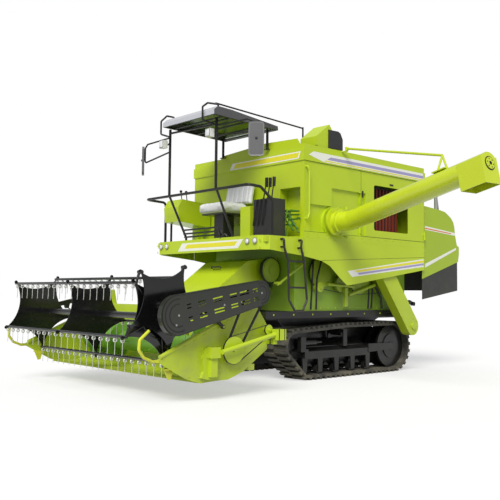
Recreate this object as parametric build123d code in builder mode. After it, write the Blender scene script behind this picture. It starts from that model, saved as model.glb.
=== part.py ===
from build123d import *
import os
from math import atan2, cos, degrees, hypot, pi, radians, sin

os.makedirs("parts", exist_ok=True)

# Frame: X forward, Y to the machine's left, Z up, millimetres, ground at zero.
# The model is drawn about the machine's centre plane and moved by these two at export,
# so that the origin lies under the middle of the overall box.
X_MID = 1112.0
Y_MID = 1089.5

GAP = 0.5
SHEET = 4.0
PANEL = 5.0

# body
BODY_FRONT = 1574.0
BODY_REAR = -1247.0
BODY_Y = 1191.0
DECK_Z = 1956.0
SEAM_Z = 2052.0
BAND_LOW = 3018.0
BAND_TOP = 3170.0
BAND_OUT = 14.0
COAMING_Z = 3246.0
BAY_FRONT = 360.0

# platform
FASCIA_X = 2321.0
FASCIA_LOW = 1770.0
FASCIA_CHAMFER = 113.0

# tracks
TRACK_Y = 712.0
TRACK_W = 450.0
LUG_H = 32.0
BAND_T = 34.0
SPROCKET_X = 1440.0
SPROCKET_Z = 490.0
SPROCKET_R = 230.0
IDLER_X = -820.0
IDLER_R = 395.0
IDLER_Z = IDLER_R
FRONT_ROLLER_X = 1190.0
ROLLER_OUT = 130.0
LUG_COUNT = 60

# header
LIFT_X = 1590.0
LIFT_Z = 1530.0
HEADER_HALF = 1550.0
AUGER_X = 3197.0
AUGER_Z = 553.0
AUGER_R = 250.0
AUGER_TUBE_R = 130.0
KNIFE_X = 3640.0
KNIFE_Z = 262.0
ARM_X = 2868.0
ARM_Z = 1208.0
ARM_Y = 1592.0

# reel
REEL_X = 4070.0
REEL_Z = 940.0
REEL_R = 495.0
REEL_START = 47.4
REEL_BATS = 5
REEL_HALF = 1400.0
TINE_L = 200.0
TINE_PITCH = 145.0

# unloader
SWING_X = 780.0
SWING_Y = 1272.0
FLANGE_X = 980.0
FLANGE_Z = 2215.0
FLANGE_R = 215.0
TUBE_R = 136.0
TUBE_AZ = 8.0
TUBE_EL = 11.7
TUBE_L = 2310.0


def save(part, name):
    part.label = name
    moved = part.moved(Location((-X_MID, -Y_MID, 0)))
    moved.label = name
    export_step(moved, "parts/" + name + ".step")


def xz_plane(y):
    """A sketch plane whose axes are the frame's X and Z, looking along +Y."""
    return Plane(origin=(0, y, 0), x_dir=(1, 0, 0), z_dir=(0, -1, 0))


def box(x0, x1, y0, y1, z0, z1, mode=Mode.ADD):
    y0, y1 = sorted((y0, y1))
    with Locations(((x0 + x1) / 2, (y0 + y1) / 2, (z0 + z1) / 2)):
        Box(x1 - x0, y1 - y0, z1 - z0, mode=mode)


def rod(start, end, radius, mode=Mode.ADD):
    axis = Vector(*end) - Vector(*start)
    with BuildSketch(Plane(origin=start, z_dir=axis)) as section:
        Circle(radius)
    extrude(section.sketch, amount=axis.length, mode=mode)


def pipe(points, radius, bend):
    with BuildLine() as path:
        FilletPolyline(*points, radius=bend)
    wire = path.wire()
    with BuildSketch(Plane(origin=wire @ 0, z_dir=wire % 0)) as section:
        Circle(radius)
    sweep(section.sketch, path=wire)


def disc(x, y, z, radius, thick, mode=Mode.ADD):
    """A disc on the Y axis, centred on y."""
    with BuildSketch(Plane(origin=(x, y - thick / 2, z), z_dir=(0, 1, 0))) as section:
        Circle(radius)
    extrude(section.sketch, amount=thick, mode=mode)


def side_plate(points, y0, y1, mode=Mode.ADD):
    """A plate with an outline given as (x, z) pairs, between two y values."""
    with BuildSketch(xz_plane(y0)) as section:
        with BuildLine():
            Polyline(*points, close=True)
        make_face()
    extrude(section.sketch, amount=-(y1 - y0), mode=mode)


def front_plate(points, x0, x1, mode=Mode.ADD):
    """A plate with an outline given as (y, z) pairs, between two x values."""
    with BuildSketch(Plane(origin=(x0, 0, 0), x_dir=(0, 1, 0), z_dir=(1, 0, 0))) as section:
        with BuildLine():
            Polyline(*points, close=True)
        make_face()
    extrude(section.sketch, amount=x1 - x0, mode=mode)


def top_plate(points, z0, z1, mode=Mode.ADD):
    """A plate with an outline given as (x, y) pairs, between two z values."""
    with BuildSketch(Plane.XY.offset(z0)) as section:
        with BuildLine():
            Polyline(*points, close=True)
        make_face()
    extrude(section.sketch, amount=z1 - z0, mode=mode)


def belt_loop(ax, az, ar, bx, bz, br, y0, y1, thick):
    """A flat belt round two pulleys, between two y values."""
    with BuildSketch(xz_plane(y0)) as section:
        with Locations((ax, az)):
            Circle(ar + thick)
        with Locations((bx, bz)):
            Circle(br + thick)
        make_hull()
    with BuildSketch(xz_plane(y0)) as inner:
        with Locations((ax, az)):
            Circle(ar)
        with Locations((bx, bz)):
            Circle(br)
        make_hull()
    extrude(section.sketch - inner.sketch, amount=-(y1 - y0))


# tracks: the return roller lifts the upper run a little above the straight line
WHEEL_CLEAR = 0.5
RETURN_X = 330.0
RETURN_R = 62.0
RUN_RISE = 28.0
TOP_SLOPE = (IDLER_Z + IDLER_R - SPROCKET_Z - SPROCKET_R) / (SPROCKET_X - IDLER_X)
RETURN_Z = (SPROCKET_Z + SPROCKET_R + TOP_SLOPE * (SPROCKET_X - RETURN_X) + RUN_RISE
            - LUG_H - BAND_T - WHEEL_CLEAR - RETURN_R)
TRACK_CIRCLES = (
    (SPROCKET_X, SPROCKET_Z, SPROCKET_R),
    (RETURN_X, RETURN_Z, RETURN_R + WHEEL_CLEAR + BAND_T + LUG_H),
    (IDLER_X, IDLER_Z, IDLER_R),
    (FRONT_ROLLER_X, ROLLER_OUT, ROLLER_OUT),
)


def track_hull(shrink):
    with BuildSketch(Plane.XY) as hull:
        for cx, cz, cr in TRACK_CIRCLES:
            with Locations((cx, cz)):
                Circle(cr - shrink)
        make_hull()
    return hull.sketch


track_outer = track_hull(LUG_H)
track_inner = track_hull(LUG_H + BAND_T)
track_line = track_outer.face().outer_wire()


def lug_places(phase):
    places = []
    for index in range(LUG_COUNT):
        at = ((index + phase) / LUG_COUNT) % 1.0
        spot = track_line.position_at(at)
        along = track_line.tangent_at(at)
        places.append(Location((spot.X, spot.Y, 0), (0, 0, degrees(atan2(along.Y, along.X)))))
    return places


def track_profile(phase):
    with BuildSketch(Plane.XY) as profile:
        with Locations(*lug_places(phase)):
            Trapezoid(52, 2 * LUG_H, 78)
        add(track_outer)
        add(track_inner, mode=Mode.SUBTRACT)
    return profile.sketch


# one rubber track: band with staggered half-width lugs
lug_profiles = (track_profile(0.0), track_profile(0.5))
with BuildPart() as track_loop:
    for half, profile in enumerate(lug_profiles):
        with BuildSketch(xz_plane(-TRACK_W / 2 + half * TRACK_W / 2)):
            add(profile)
        extrude(amount=-TRACK_W / 2)
    box(IDLER_X - IDLER_R, SPROCKET_X + SPROCKET_R, -TRACK_W, TRACK_W, -LUG_H, 0, mode=Mode.SUBTRACT)

save(track_loop.part.moved(Location((0, TRACK_Y, 0))), "track_left")
save(track_loop.part.moved(Location((0, -TRACK_Y, 0))), "track_right")

# undercarriage: toothed drive sprockets, rear idlers, road rollers and return rollers
SPROCKET_FACE_R = SPROCKET_R - LUG_H - BAND_T - WHEEL_CLEAR
IDLER_FACE_R = IDLER_R - LUG_H - BAND_T - WHEEL_CLEAR
ROLLER_FACE_R = ROLLER_OUT - LUG_H - BAND_T - WHEEL_CLEAR
ROLLER_XS = (1190.0, 868.0, 515.0, 150.0, -210.0)
ROLLER_Z = LUG_H + BAND_T + WHEEL_CLEAR + ROLLER_FACE_R

with BuildPart() as track_wheels:
    for side in (1, -1):
        y = side * TRACK_Y
        disc(SPROCKET_X, y, SPROCKET_Z, SPROCKET_FACE_R - 34, 60)
        with BuildSketch(xz_plane(y - 30)):
            with Locations((SPROCKET_X, SPROCKET_Z)):
                with PolarLocations(SPROCKET_FACE_R - 33, 9):
                    Rectangle(60, 44)
        extrude(amount=-60)
        disc(SPROCKET_X, y, SPROCKET_Z, 78, 200)
        for offset in (-95, 95):
            disc(IDLER_X, y + offset, IDLER_Z, IDLER_FACE_R, 46)
            disc(IDLER_X, y + offset + side * 14, IDLER_Z, 190, 50)
        disc(IDLER_X, y, IDLER_Z, 70, 284)
        for x in ROLLER_XS:
            for offset in (-95, 95):
                disc(x, y + offset, ROLLER_Z, ROLLER_FACE_R, 60)
            disc(x, y, ROLLER_Z, 26, 272)
        disc(RETURN_X, y, RETURN_Z, RETURN_R, 200)
        disc(RETURN_X, y, RETURN_Z, 24, 284)
save(track_wheels.part, "track_wheels")

# track frames: a box beam each side with hangers, tensioner and fork for the idler
RAIL_Y = 420.0
RAIL_IN = RAIL_Y - 50.0
RAIL_OUT = RAIL_Y + 50.0
RAIL_LOW = 823.0
RAIL_TOP = 962.0
FRAME_TOP = 452.0
FRAME_LOW = 285.0
FRAME_EDGE = 392.0
FRAME_RIDGE = 545.0
with BuildPart() as track_frames:
    for side in (1, -1):
        y = side * TRACK_Y
        side_plate(((1250, FRAME_LOW), (1250, FRAME_TOP - 20), (1180, FRAME_TOP), (-240, FRAME_TOP),
                    (-240, FRAME_LOW)), y - 60, y + 60)
        front_plate(((y + side * 154, FRAME_LOW), (y + side * 154, FRAME_EDGE), (y - side * 120, FRAME_RIDGE),
                     (y - side * 154, FRAME_RIDGE), (y - side * 154, FRAME_LOW)), -240, 1200)
        for x in ROLLER_XS:
            for offset in (-145, 145):
                side_plate(((x - 40, ROLLER_Z - 34), (x + 40, ROLLER_Z - 34), (x + 52, FRAME_LOW + 30),
                            (x - 52, FRAME_LOW + 30)), y + offset - 9, y + offset + 9)
            box(x - 40, x + 40, y - 154, y + 154, FRAME_LOW + 6, FRAME_LOW + 30)
        for offset in (-152, 152):
            side_plate(((-240, FRAME_LOW + 40), (-240, FRAME_TOP), (IDLER_X - 60, IDLER_Z + 50),
                        (IDLER_X - 60, IDLER_Z - 50)), y + offset - 10, y + offset + 10)
            box(RETURN_X - 42, RETURN_X + 42, y + offset - 10, y + offset + 10, FRAME_TOP - 10, RETURN_Z + 32)
        box(-300, -220, y - 162, y + 162, FRAME_LOW + 40, FRAME_TOP)
        box(RETURN_X - 42, RETURN_X + 42, y - 162, y + 162, FRAME_TOP - 10, FRAME_TOP + 20)
        box(1180, 1250, y - 150, y + 210, FRAME_LOW + 20, FRAME_TOP - 20)
        rod((1290, y + side * 175, 520), (1000, y + side * 175, 520), 34)
        box(1230, 1330, y + side * 140, y + side * 210, 395, 600)
        rod((1000, y + side * 175, 520), (880, y + side * 175, 520), 16)
        for x in (1000, -100):
            box(x - 60, x + 60, side * RAIL_IN, side * TRACK_Y, FRAME_LOW + 60, FRAME_TOP - 30)
save(track_frames.part, "track_frames")

# chassis: two long rails with cross members, legs down to the track frames, side sills,
# platform outriggers and the rear drawbar
CYL_X = 1640.0
CYL_Z = 700.0
CYL_Y = 300.0
CYL_PIN = 16.0
RAIL_REAR = -1620.0
RAIL_FRONT = 1560.0
SILL_Y = 880.0
HITCH_X = -1990.0
HITCH_Y = RAIL_OUT - 20.0
HITCH_Z = 1050.0
HITCH_T = 60.0
HITCH_HOLE_R = 16.0
with BuildPart() as chassis_frame:
    for side in (1, -1):
        box(RAIL_REAR, RAIL_FRONT, side * RAIL_IN, side * RAIL_OUT, RAIL_LOW, RAIL_TOP)
        box(-1000, 2000, side * (SILL_Y - 45), side * (SILL_Y + 25), RAIL_TOP - 96, RAIL_TOP)
        for x in (1000, -100):
            box(x - 60, x + 60, side * (RAIL_IN + 8), side * (RAIL_OUT - 8), FRAME_TOP - 30, RAIL_LOW)
        lo, hi = sorted((side * (RAIL_OUT - 8), side * (RAIL_OUT - 20)))
        side_plate(((1330, RAIL_LOW), (1120, 640), (1060, FRAME_TOP - 30), (-160, FRAME_TOP - 30),
                    (-430, 600), (-1000, RAIL_LOW)), lo, hi)
    for x in (1500, 1000, 400, -100, -700, -1560):
        box(x - 40, x + 40, -RAIL_IN, RAIL_IN, RAIL_LOW + 20, RAIL_TOP - 20)
    for x in (1930, 1000, 0, -960):
        for side in (1, -1):
            box(x - 40, x + 40, side * (RAIL_OUT if x < 1560 else 0), side * (SILL_Y - 45),
                RAIL_TOP - 90, RAIL_TOP - 14)
    box(1540, 1970, -60, 60, RAIL_TOP - 90, RAIL_TOP - 14)
    # lugs and pins of the lift cylinders
    for side in (1, -1):
        y = side * CYL_Y
        rod((CYL_X, y - 42, CYL_Z), (CYL_X, y + 42, CYL_Z), CYL_PIN)
        for offset in (-40, 28):
            side_plate(((1510, RAIL_LOW + 25), (1540, RAIL_LOW + 25), (CYL_X + 50, CYL_Z), (CYL_X + 30, CYL_Z - 45),
                        (CYL_X - 20, CYL_Z - 45), (1510, 790)), y + offset, y + offset + 12)
    side_plate(((-1560, RAIL_TOP), (-1560, 1115), (-1900, 1115), (-2040, 1060), (-2040, 1010),
                (-1900, 1040), (-1620, 1000), (-1620, RAIL_TOP)), RAIL_OUT - 30, RAIL_OUT - 10)
    disc(HITCH_X, HITCH_Y, HITCH_Z, 34, HITCH_T)
    disc(HITCH_X, HITCH_Y, HITCH_Z, HITCH_HOLE_R, HITCH_T + 2, mode=Mode.SUBTRACT)
save(chassis_frame.part, "chassis_frame")

# transmission between the sprockets, with final drives
with BuildPart() as transmission:
    box(1290, 1590, -210, 210, 430, 800)
    for side in (1, -1):
        rod((SPROCKET_X, side * 200, SPROCKET_Z), (SPROCKET_X, side * 470, SPROCKET_Z), 88)
        rod((SPROCKET_X, side * 470, SPROCKET_Z), (SPROCKET_X, side * (TRACK_Y - 100), SPROCKET_Z), 130)
    box(1380, 1500, -330, -210, 640, 800)
    box(1465, 1535, -100, 100, 800, RAIL_LOW + 20)
save(transmission.part, "transmission")

# threshing housing: hollow, open at the front to the feeder and at the rear to the straw hood
THRESH_FRONT = 1400.0
THRESH_REAR = -1180.0
THRESH_Y = 850.0
THRESH_LOW = RAIL_TOP
THRESH_TOP = DECK_Z - 20.0
FEED_HALF = 450.0
with BuildPart() as thresher_housing:
    box(THRESH_REAR, THRESH_FRONT, -THRESH_Y, THRESH_Y, THRESH_LOW, THRESH_TOP)
    box(THRESH_REAR - 10, THRESH_FRONT - SHEET, -THRESH_Y + SHEET, THRESH_Y - SHEET,
        THRESH_LOW + SHEET, THRESH_TOP - SHEET, mode=Mode.SUBTRACT)
    box(THRESH_FRONT - 10, THRESH_FRONT + 10, -FEED_HALF + 30, FEED_HALF - 30, 1290, 1690,
        mode=Mode.SUBTRACT)
save(thresher_housing.part, "thresher_housing")

# threshing drives on the left side: pulleys, belts and the feeder's drive pulley
PULLEY_T = 46.0
DRIVE_Y = 905.0
with BuildPart() as drive_pulleys:
    disc(LIFT_X, 560, LIFT_Z, 180, 50)
    disc(LIFT_X, 560, LIFT_Z, 152, 70)
    rod((LIFT_X, -600, LIFT_Z), (LIFT_X, 600, LIFT_Z), 28)
    disc(LIFT_X, 560, LIFT_Z, 60, 96)
    for x, z, r in ((930, 1500, 210), (480, 1350, 120), (60, 1440, 230), (-420, 1360, 130)):
        disc(x, DRIVE_Y, z, r, PULLEY_T)
        disc(x, (THRESH_Y + DRIVE_Y + 27) / 2, z, 40, DRIVE_Y + 27 - THRESH_Y)
    for xa, za, ra, xb, zb, rb, y in ((930, 1500, 210, 480, 1350, 120, DRIVE_Y - 16),
                                      (60, 1440, 230, -420, 1360, 130, DRIVE_Y + 2)):
        belt_loop(xa, za, ra, xb, zb, rb, y, y + 16, 9)
    for side in (1, -1):
        side_plate(((LIFT_X - 60, LIFT_Z - 60), (LIFT_X + 60, LIFT_Z - 60), (LIFT_X + 60, LIFT_Z + 60),
                    (THRESH_FRONT + GAP, LIFT_Z + 200), (THRESH_FRONT + GAP, LIFT_Z - 220)),
                   side * 500 - 12, side * 500 + 12)
save(drive_pulleys.part, "drive_pulleys")

# side shields: outer panels below the platform line, with the cut-away lower edge
SHIELD_FRONT = 1568.0
with BuildPart() as side_shields:
    for side in (1, -1):
        y0 = side * BODY_Y
        y1 = side * (BODY_Y - PANEL)
        lo, hi = sorted((y0, y1))
        side_plate(((BODY_REAR, DECK_Z), (BODY_REAR, 1604), (606, 1334), (672, 1330), (826, 1432),
                    (1040, 1594), (1207, 1658), (SHIELD_FRONT, 1711), (SHIELD_FRONT, DECK_Z)), lo, hi)
        for x in (BODY_REAR + 30, 400, 1500):
            box(x - 15, x + 15, side * (THRESH_Y + GAP), side * (BODY_Y - PANEL), DECK_Z - 60, DECK_Z)
save(side_shields.part, "side_shields")

# slanted grain elevator on the left: leg, round foot and the discharge head above the tank
LEG_X = -990.0
LEG_Z = 714.0
LEG_SLOPE = 51.0
LEG_R = 145.0
LEG_Y0 = 1000.0
LEG_Y1 = 1150.0
LEG_TOP_Z = 3330.0
LEG_LONG = (LEG_TOP_Z - LEG_Z) / sin(radians(LEG_SLOPE))
LEG_END_X = LEG_X + LEG_LONG * cos(radians(LEG_SLOPE))


def elevator_outline(radius):
    with BuildSketch(Plane.XY) as outline:
        for x, z in ((LEG_X, LEG_Z), (LEG_END_X, LEG_TOP_Z)):
            with Locations((x, z)):
                Circle(radius)
        make_hull()
    return outline.sketch


with BuildPart() as grain_elevator:
    with BuildSketch(xz_plane(LEG_Y0)):
        add(elevator_outline(LEG_R))
    extrude(amount=-(LEG_Y1 - LEG_Y0))
    with BuildSketch(xz_plane(LEG_Y0 + SHEET)):
        add(elevator_outline(LEG_R - SHEET))
    extrude(amount=-(LEG_Y1 - LEG_Y0 - 2 * SHEET), mode=Mode.SUBTRACT)
    # head: green wedge cover and the black discharge box behind it
    side_plate(((1290, 3270), (1290, 3395), (1015, 3600), (935, 3500), (1010, 3270)), 850, LEG_Y1)
    side_plate(((740, 3262), (740, 3420), (790, 3505), (840, 3525), (1040, 3520), (1040, 3262)),
               800, LEG_Y1 + 15)
    disc(LEG_X, LEG_Y1 + 10, LEG_Z, 52, 30)
save(grain_elevator.part, "grain_elevator")


def elevator_slot(y0, y1):
    """Clear way for the elevator leg through another piece."""
    with BuildSketch(xz_plane(y0)) as outline:
        add(elevator_outline(LEG_R + 8))
    extrude(outline.sketch, amount=-(y1 - y0), mode=Mode.SUBTRACT)


# grain tank: open at the top, sloped floor to the cross trough, side pocket at the outlet
TANK_REAR = BAY_FRONT + GAP
POCKET = 32.0
HINGE_PIN = 12.0
POCKET_REAR = 246.0
TANK_LOW = DECK_Z + GAP
IN_Y = BODY_Y - SHEET
with BuildPart() as grain_tank:
    box(TANK_REAR, BODY_FRONT, -BODY_Y, BODY_Y, TANK_LOW, COAMING_Z)
    box(TANK_REAR, BODY_FRONT + BAND_OUT, -BODY_Y - BAND_OUT, BODY_Y + BAND_OUT, BAND_LOW, BAND_TOP)
    box(TANK_REAR + SHEET, BODY_FRONT - SHEET, -IN_Y, IN_Y - POCKET, TANK_LOW - 1, COAMING_Z + 1,
        mode=Mode.SUBTRACT)
    box(TANK_REAR + SHEET, BODY_FRONT - SHEET, IN_Y - POCKET - 1, IN_Y, 2700, COAMING_Z + 1,
        mode=Mode.SUBTRACT)
    box(TANK_REAR - 1, 1000, BODY_Y - POCKET, BODY_Y + 1, SEAM_Z, 2690, mode=Mode.SUBTRACT)
    box(999, 1456, BODY_Y - POCKET, BODY_Y + 1, SEAM_Z, 2430, mode=Mode.SUBTRACT)
    # sloped floor
    side_plate(((TANK_REAR, 2620), (TANK_REAR, 2614), (860, 2060), (1110, 2060), (BODY_FRONT, 2420),
                (BODY_FRONT, 2426), (1108, 2066), (864, 2066)), -BODY_Y + 1, BODY_Y - POCKET - 1)
    # recess in the front, left of the platform
    box(BODY_FRONT - 160, BODY_FRONT + 1, 730, 1120, 1990, 2660, mode=Mode.SUBTRACT)
    box(BODY_FRONT - 164, BODY_FRONT - 160, 726, 1124, 1986, 2664)
    for y0, y1 in ((726, 730), (1120, 1124)):
        box(BODY_FRONT - 164, BODY_FRONT, y0, y1, 1986, 2664)
    for z0, z1 in ((1986, 1990), (2660, 2664)):
        box(BODY_FRONT - 164, BODY_FRONT, 726, 1124, z0, z1)
    box(TANK_REAR, 820, LEG_Y0 - 12, BODY_Y - POCKET - SHEET, 2040, 2640, mode=Mode.SUBTRACT)
    elevator_slot(LEG_Y0 - 8, LEG_Y1 + 6)
    # outlet of the cross auger in the left wall, with its flange ring
    rod((FLANGE_X, BODY_Y - POCKET - 10, FLANGE_Z), (FLANGE_X, SWING_Y - 26, FLANGE_Z), TUBE_R + 10)
    rod((FLANGE_X, BODY_Y - POCKET, FLANGE_Z), (FLANGE_X, BODY_Y + 4, FLANGE_Z), FLANGE_R)
    rod((FLANGE_X, SWING_Y - 40, FLANGE_Z), (FLANGE_X, SWING_Y - 26, FLANGE_Z), FLANGE_R - 20)
    rod((FLANGE_X, BODY_Y - POCKET - 30, FLANGE_Z), (FLANGE_X, SWING_Y, FLANGE_Z), TUBE_R - 6,
        mode=Mode.SUBTRACT)
    for z in (FLANGE_Z - FLANGE_R + 6, FLANGE_Z + FLANGE_R - 26):
        box(SWING_X - 30, FLANGE_X - 40, SWING_Y - 40, SWING_Y - 24, z, z + 20)
        rod((SWING_X, SWING_Y, z), (SWING_X, SWING_Y, z + 20), 26)
        rod((SWING_X, SWING_Y, z - 22), (SWING_X, SWING_Y, z + 42), HINGE_PIN)
    rod((SWING_X, SWING_Y, 3242), (SWING_X, SWING_Y, 3298), HINGE_PIN)
    box(SWING_X - 22, SWING_X + 22, BODY_Y - 1, SWING_Y + 8, 3230, 3242)
    # front extension flap of the open top
    front_plate(((-560, COAMING_Z - 4), (1120, COAMING_Z - 4), (1060, 3330), (430, 3352), (-520, 3290)),
                BODY_FRONT - SHEET, BODY_FRONT)
save(grain_tank.part, "grain_tank")

# engine bay behind the tank: frame, roof, rear and right walls, doorway on the left
DOOR_FRONT = 348.0
DOOR_REAR = -1236.0
DOOR_LOW = SEAM_Z + 4.0
DOOR_TOP = BAND_LOW - 4.0
DOOR_GAP = 5.0
DOOR_HINGE_X = DOOR_REAR - DOOR_GAP / 2
DOOR_HINGE_Y = BODY_Y + 12.0
KNUCKLE_R = 10.0
KNUCKLE_H = 60.0
DOOR_PIN_R = 5.0
DOOR_HINGE_ZS = (DOOR_LOW + 90.0, DOOR_TOP - 210.0)


def knuckle(z, leaf_to):
    """One hinge barrel above z with its leaf on the panel's outer face."""
    rod((DOOR_HINGE_X, DOOR_HINGE_Y, z), (DOOR_HINGE_X, DOOR_HINGE_Y, z + KNUCKLE_H), KNUCKLE_R)
    x0, x1 = sorted((DOOR_HINGE_X, DOOR_HINGE_X + leaf_to))
    box(x0, x1, BODY_Y, BODY_Y + 5, z, z + KNUCKLE_H)


with BuildPart() as engine_bay:
    box(BODY_REAR, BAY_FRONT, -BODY_Y, BODY_Y, TANK_LOW, COAMING_Z)
    box(BODY_REAR - BAND_OUT, BAY_FRONT, -BODY_Y - BAND_OUT, BODY_Y + BAND_OUT, BAND_LOW, BAND_TOP)
    box(BODY_REAR + SHEET, BAY_FRONT - SHEET, -IN_Y, IN_Y, TANK_LOW - 1, BAND_TOP - SHEET,
        mode=Mode.SUBTRACT)
    box(BODY_REAR + SHEET, BAY_FRONT + 1, -IN_Y, IN_Y, BAND_TOP, COAMING_Z + 1, mode=Mode.SUBTRACT)
    box(DOOR_REAR - DOOR_GAP, DOOR_FRONT + DOOR_GAP, BODY_Y - 20, BODY_Y + 1, DOOR_LOW - 3, DOOR_TOP + 3,
        mode=Mode.SUBTRACT)
    for z in DOOR_HINGE_ZS:
        knuckle(z - KNUCKLE_H - 2, -44)
        rod((DOOR_HINGE_X, DOOR_HINGE_Y, z - 20), (DOOR_HINGE_X, DOOR_HINGE_Y, z + KNUCKLE_H + 6), DOOR_PIN_R)
    box(-800, 40, -BODY_Y - 1, -BODY_Y + 20, 2180, 2820, mode=Mode.SUBTRACT)
    for index in range(9):
        z = 2215 + index * 70
        box(-802, 42, -BODY_Y, -BODY_Y + 3, z, z + 34)
    elevator_slot(LEG_Y0 - 8, LEG_Y1 + 6)
save(engine_bay.part, "engine_bay")

WINDOW_REAR = -812.0
WINDOW_FRONT = 52.0
with BuildPart() as radiator_door:
    box(DOOR_REAR, DOOR_FRONT, BODY_Y - PANEL, BODY_Y, DOOR_LOW, DOOR_TOP)
    with BuildSketch(xz_plane(BODY_Y - 20)):
        with Locations(((WINDOW_REAR + WINDOW_FRONT) / 2, 2497)):
            RectangleRounded(WINDOW_FRONT - WINDOW_REAR, 680, 36)
    extrude(amount=-40, mode=Mode.SUBTRACT)
    for x in (WINDOW_REAR - 30, WINDOW_FRONT + 10):
        box(x, x + 20, BODY_Y - 18, BODY_Y - PANEL, DOOR_LOW + 60, DOOR_TOP - 60)
    # lower corner cut where the outlet pocket runs on
    box(POCKET_REAR, DOOR_FRONT + 1, BODY_Y - 30, BODY_Y + 1, DOOR_LOW - 1, 2690, mode=Mode.SUBTRACT)
    box(POCKET_REAR, DOOR_FRONT - 6, BODY_Y - POCKET, BODY_Y - POCKET + PANEL, DOOR_LOW, 2694)
    box(POCKET_REAR - PANEL, POCKET_REAR, BODY_Y - POCKET, BODY_Y, DOOR_LOW, 2694)
    box(POCKET_REAR - PANEL, DOOR_FRONT - 6, BODY_Y - POCKET, BODY_Y, 2690, 2694)
    for z in DOOR_HINGE_ZS:
        knuckle(z, 44)
        rod((DOOR_HINGE_X, DOOR_HINGE_Y, z - 1), (DOOR_HINGE_X, DOOR_HINGE_Y, z + KNUCKLE_H + 1),
            DOOR_PIN_R + 0.5, mode=Mode.SUBTRACT)
save(radiator_door.part, "radiator_door")

with BuildPart() as radiator:
    box(-830, 0, 880, 960, 2120, 2860)
    for index in range(10):
        x = -800 + index * 84
        box(x, x + 26, 960, 985, 2150, 2830)
    for x in (-780, -90):
        box(x, x + 40, 780, 960, 2090, 2120)
        box(x, x + 40, 780, 820, THRESH_TOP, 2120)
save(radiator.part, "radiator")

with BuildPart() as engine_block:
    box(-1000, 150, -520, 300, 2010, 2760)
    for x in (-920, 50):
        for y in (-480, 220):
            box(x, x + 60, y, y + 60, THRESH_TOP, 2010)
save(engine_block.part, "engine_block")

# straw hood behind the body, hollow and open below, with its rubber curtain
HOOD_Y = 1150.0
HOOD_FRONT = BODY_REAR - GAP
HOOD_LINE = ((HOOD_FRONT, 2652), (-1652, 2627), (-1800, 2614), (-1920, 2597), (-2011, 2556),
             (-2102, 2506), (-2172, 2440), (-2207, 2349), (-2223, 2230), (-2279, 2052),
             (-2342, 2026), (-2342, 1911), (-2311, 1773), (HOOD_FRONT, 1461))
HOOD_HOLLOW = ((HOOD_FRONT + 10, 2647), (-1652, 2622), (-1800, 2609), (-1918, 2592), (-2007, 2551),
               (-2098, 2502), (-2167, 2437), (-2202, 2348), (-2218, 2229), (-2274, 2048),
               (-2337, 2022), (-2337, 1912), (-2298, 1740), (HOOD_FRONT + 10, 1440))
EXHAUST_X = -2030.0
EXHAUST_Y = 900.0
EXHAUST_R = 30.0
with BuildPart() as straw_hood:
    side_plate(HOOD_LINE, -HOOD_Y, HOOD_Y)
    side_plate(HOOD_HOLLOW, -HOOD_Y + SHEET, HOOD_Y - SHEET, mode=Mode.SUBTRACT)
    rod((EXHAUST_X, EXHAUST_Y, 2480), (EXHAUST_X, EXHAUST_Y, 2600), EXHAUST_R + GAP, mode=Mode.SUBTRACT)
save(straw_hood.part, "straw_hood")

CURTAIN_T = 8.0
CURTAIN_Y = HOOD_Y - SHEET - GAP
with BuildPart() as outlet_curtain:
    for side in (1, -1):
        lo, hi = sorted((side * CURTAIN_Y, side * (CURTAIN_Y - CURTAIN_T)))
        side_plate(((-1258, 1540), (-2290, 1820), (-2290, 1283), (-1258, 1133)), lo, hi)
    box(-2290, -2282, -CURTAIN_Y, CURTAIN_Y, 1283, 1820)
save(outlet_curtain.part, "outlet_curtain")

# exhaust stack on the hood with its stay
with BuildPart() as exhaust_pipe:
    pipe(((EXHAUST_X, EXHAUST_Y, 2500), (EXHAUST_X, EXHAUST_Y, 2960), (EXHAUST_X - 100, EXHAUST_Y, 3060)),
         EXHAUST_R, 60)
    rod((EXHAUST_X - 10, EXHAUST_Y, 2950), (EXHAUST_X - 128, EXHAUST_Y, 2470), 12)
save(exhaust_pipe.part, "exhaust_pipe")

# operator's platform: deck and fascia in one pressed cover with chamfered corners
PLATE_REAR = BODY_FRONT + GAP
FC = FASCIA_CHAMFER
FASCIA_T = 6.0


def deck_outline(inset):
    return ((PLATE_REAR, -BODY_Y + inset), (FASCIA_X - FC, -BODY_Y + inset), (FASCIA_X - inset, -BODY_Y + FC),
            (FASCIA_X - inset, BODY_Y - FC), (FASCIA_X - FC, BODY_Y - inset), (PLATE_REAR, BODY_Y - inset))


with BuildPart() as platform:
    top_plate(deck_outline(0), 1700, DECK_Z)
    top_plate(deck_outline(FASCIA_T), 1690, DECK_Z - FASCIA_T, mode=Mode.SUBTRACT)
    side_plate(((PLATE_REAR - 1, 1600), (PLATE_REAR - 1, 1712), (FASCIA_X - FC, FASCIA_LOW),
                (FASCIA_X + 1, FASCIA_LOW), (FASCIA_X + 1, 1600)), -BODY_Y - 1, BODY_Y + 1,
               mode=Mode.SUBTRACT)
    for x in (1660, 1960, 2240):
        box(x - 30, x + 30, -BODY_Y + FASCIA_T, BODY_Y - FASCIA_T, 1870, DECK_Z - FASCIA_T)
    for y in (-900, -450, 450, 900):
        box(PLATE_REAR, 2270, y - 25, y + 25, 1850, 1930)
save(platform.part, "platform")

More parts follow.
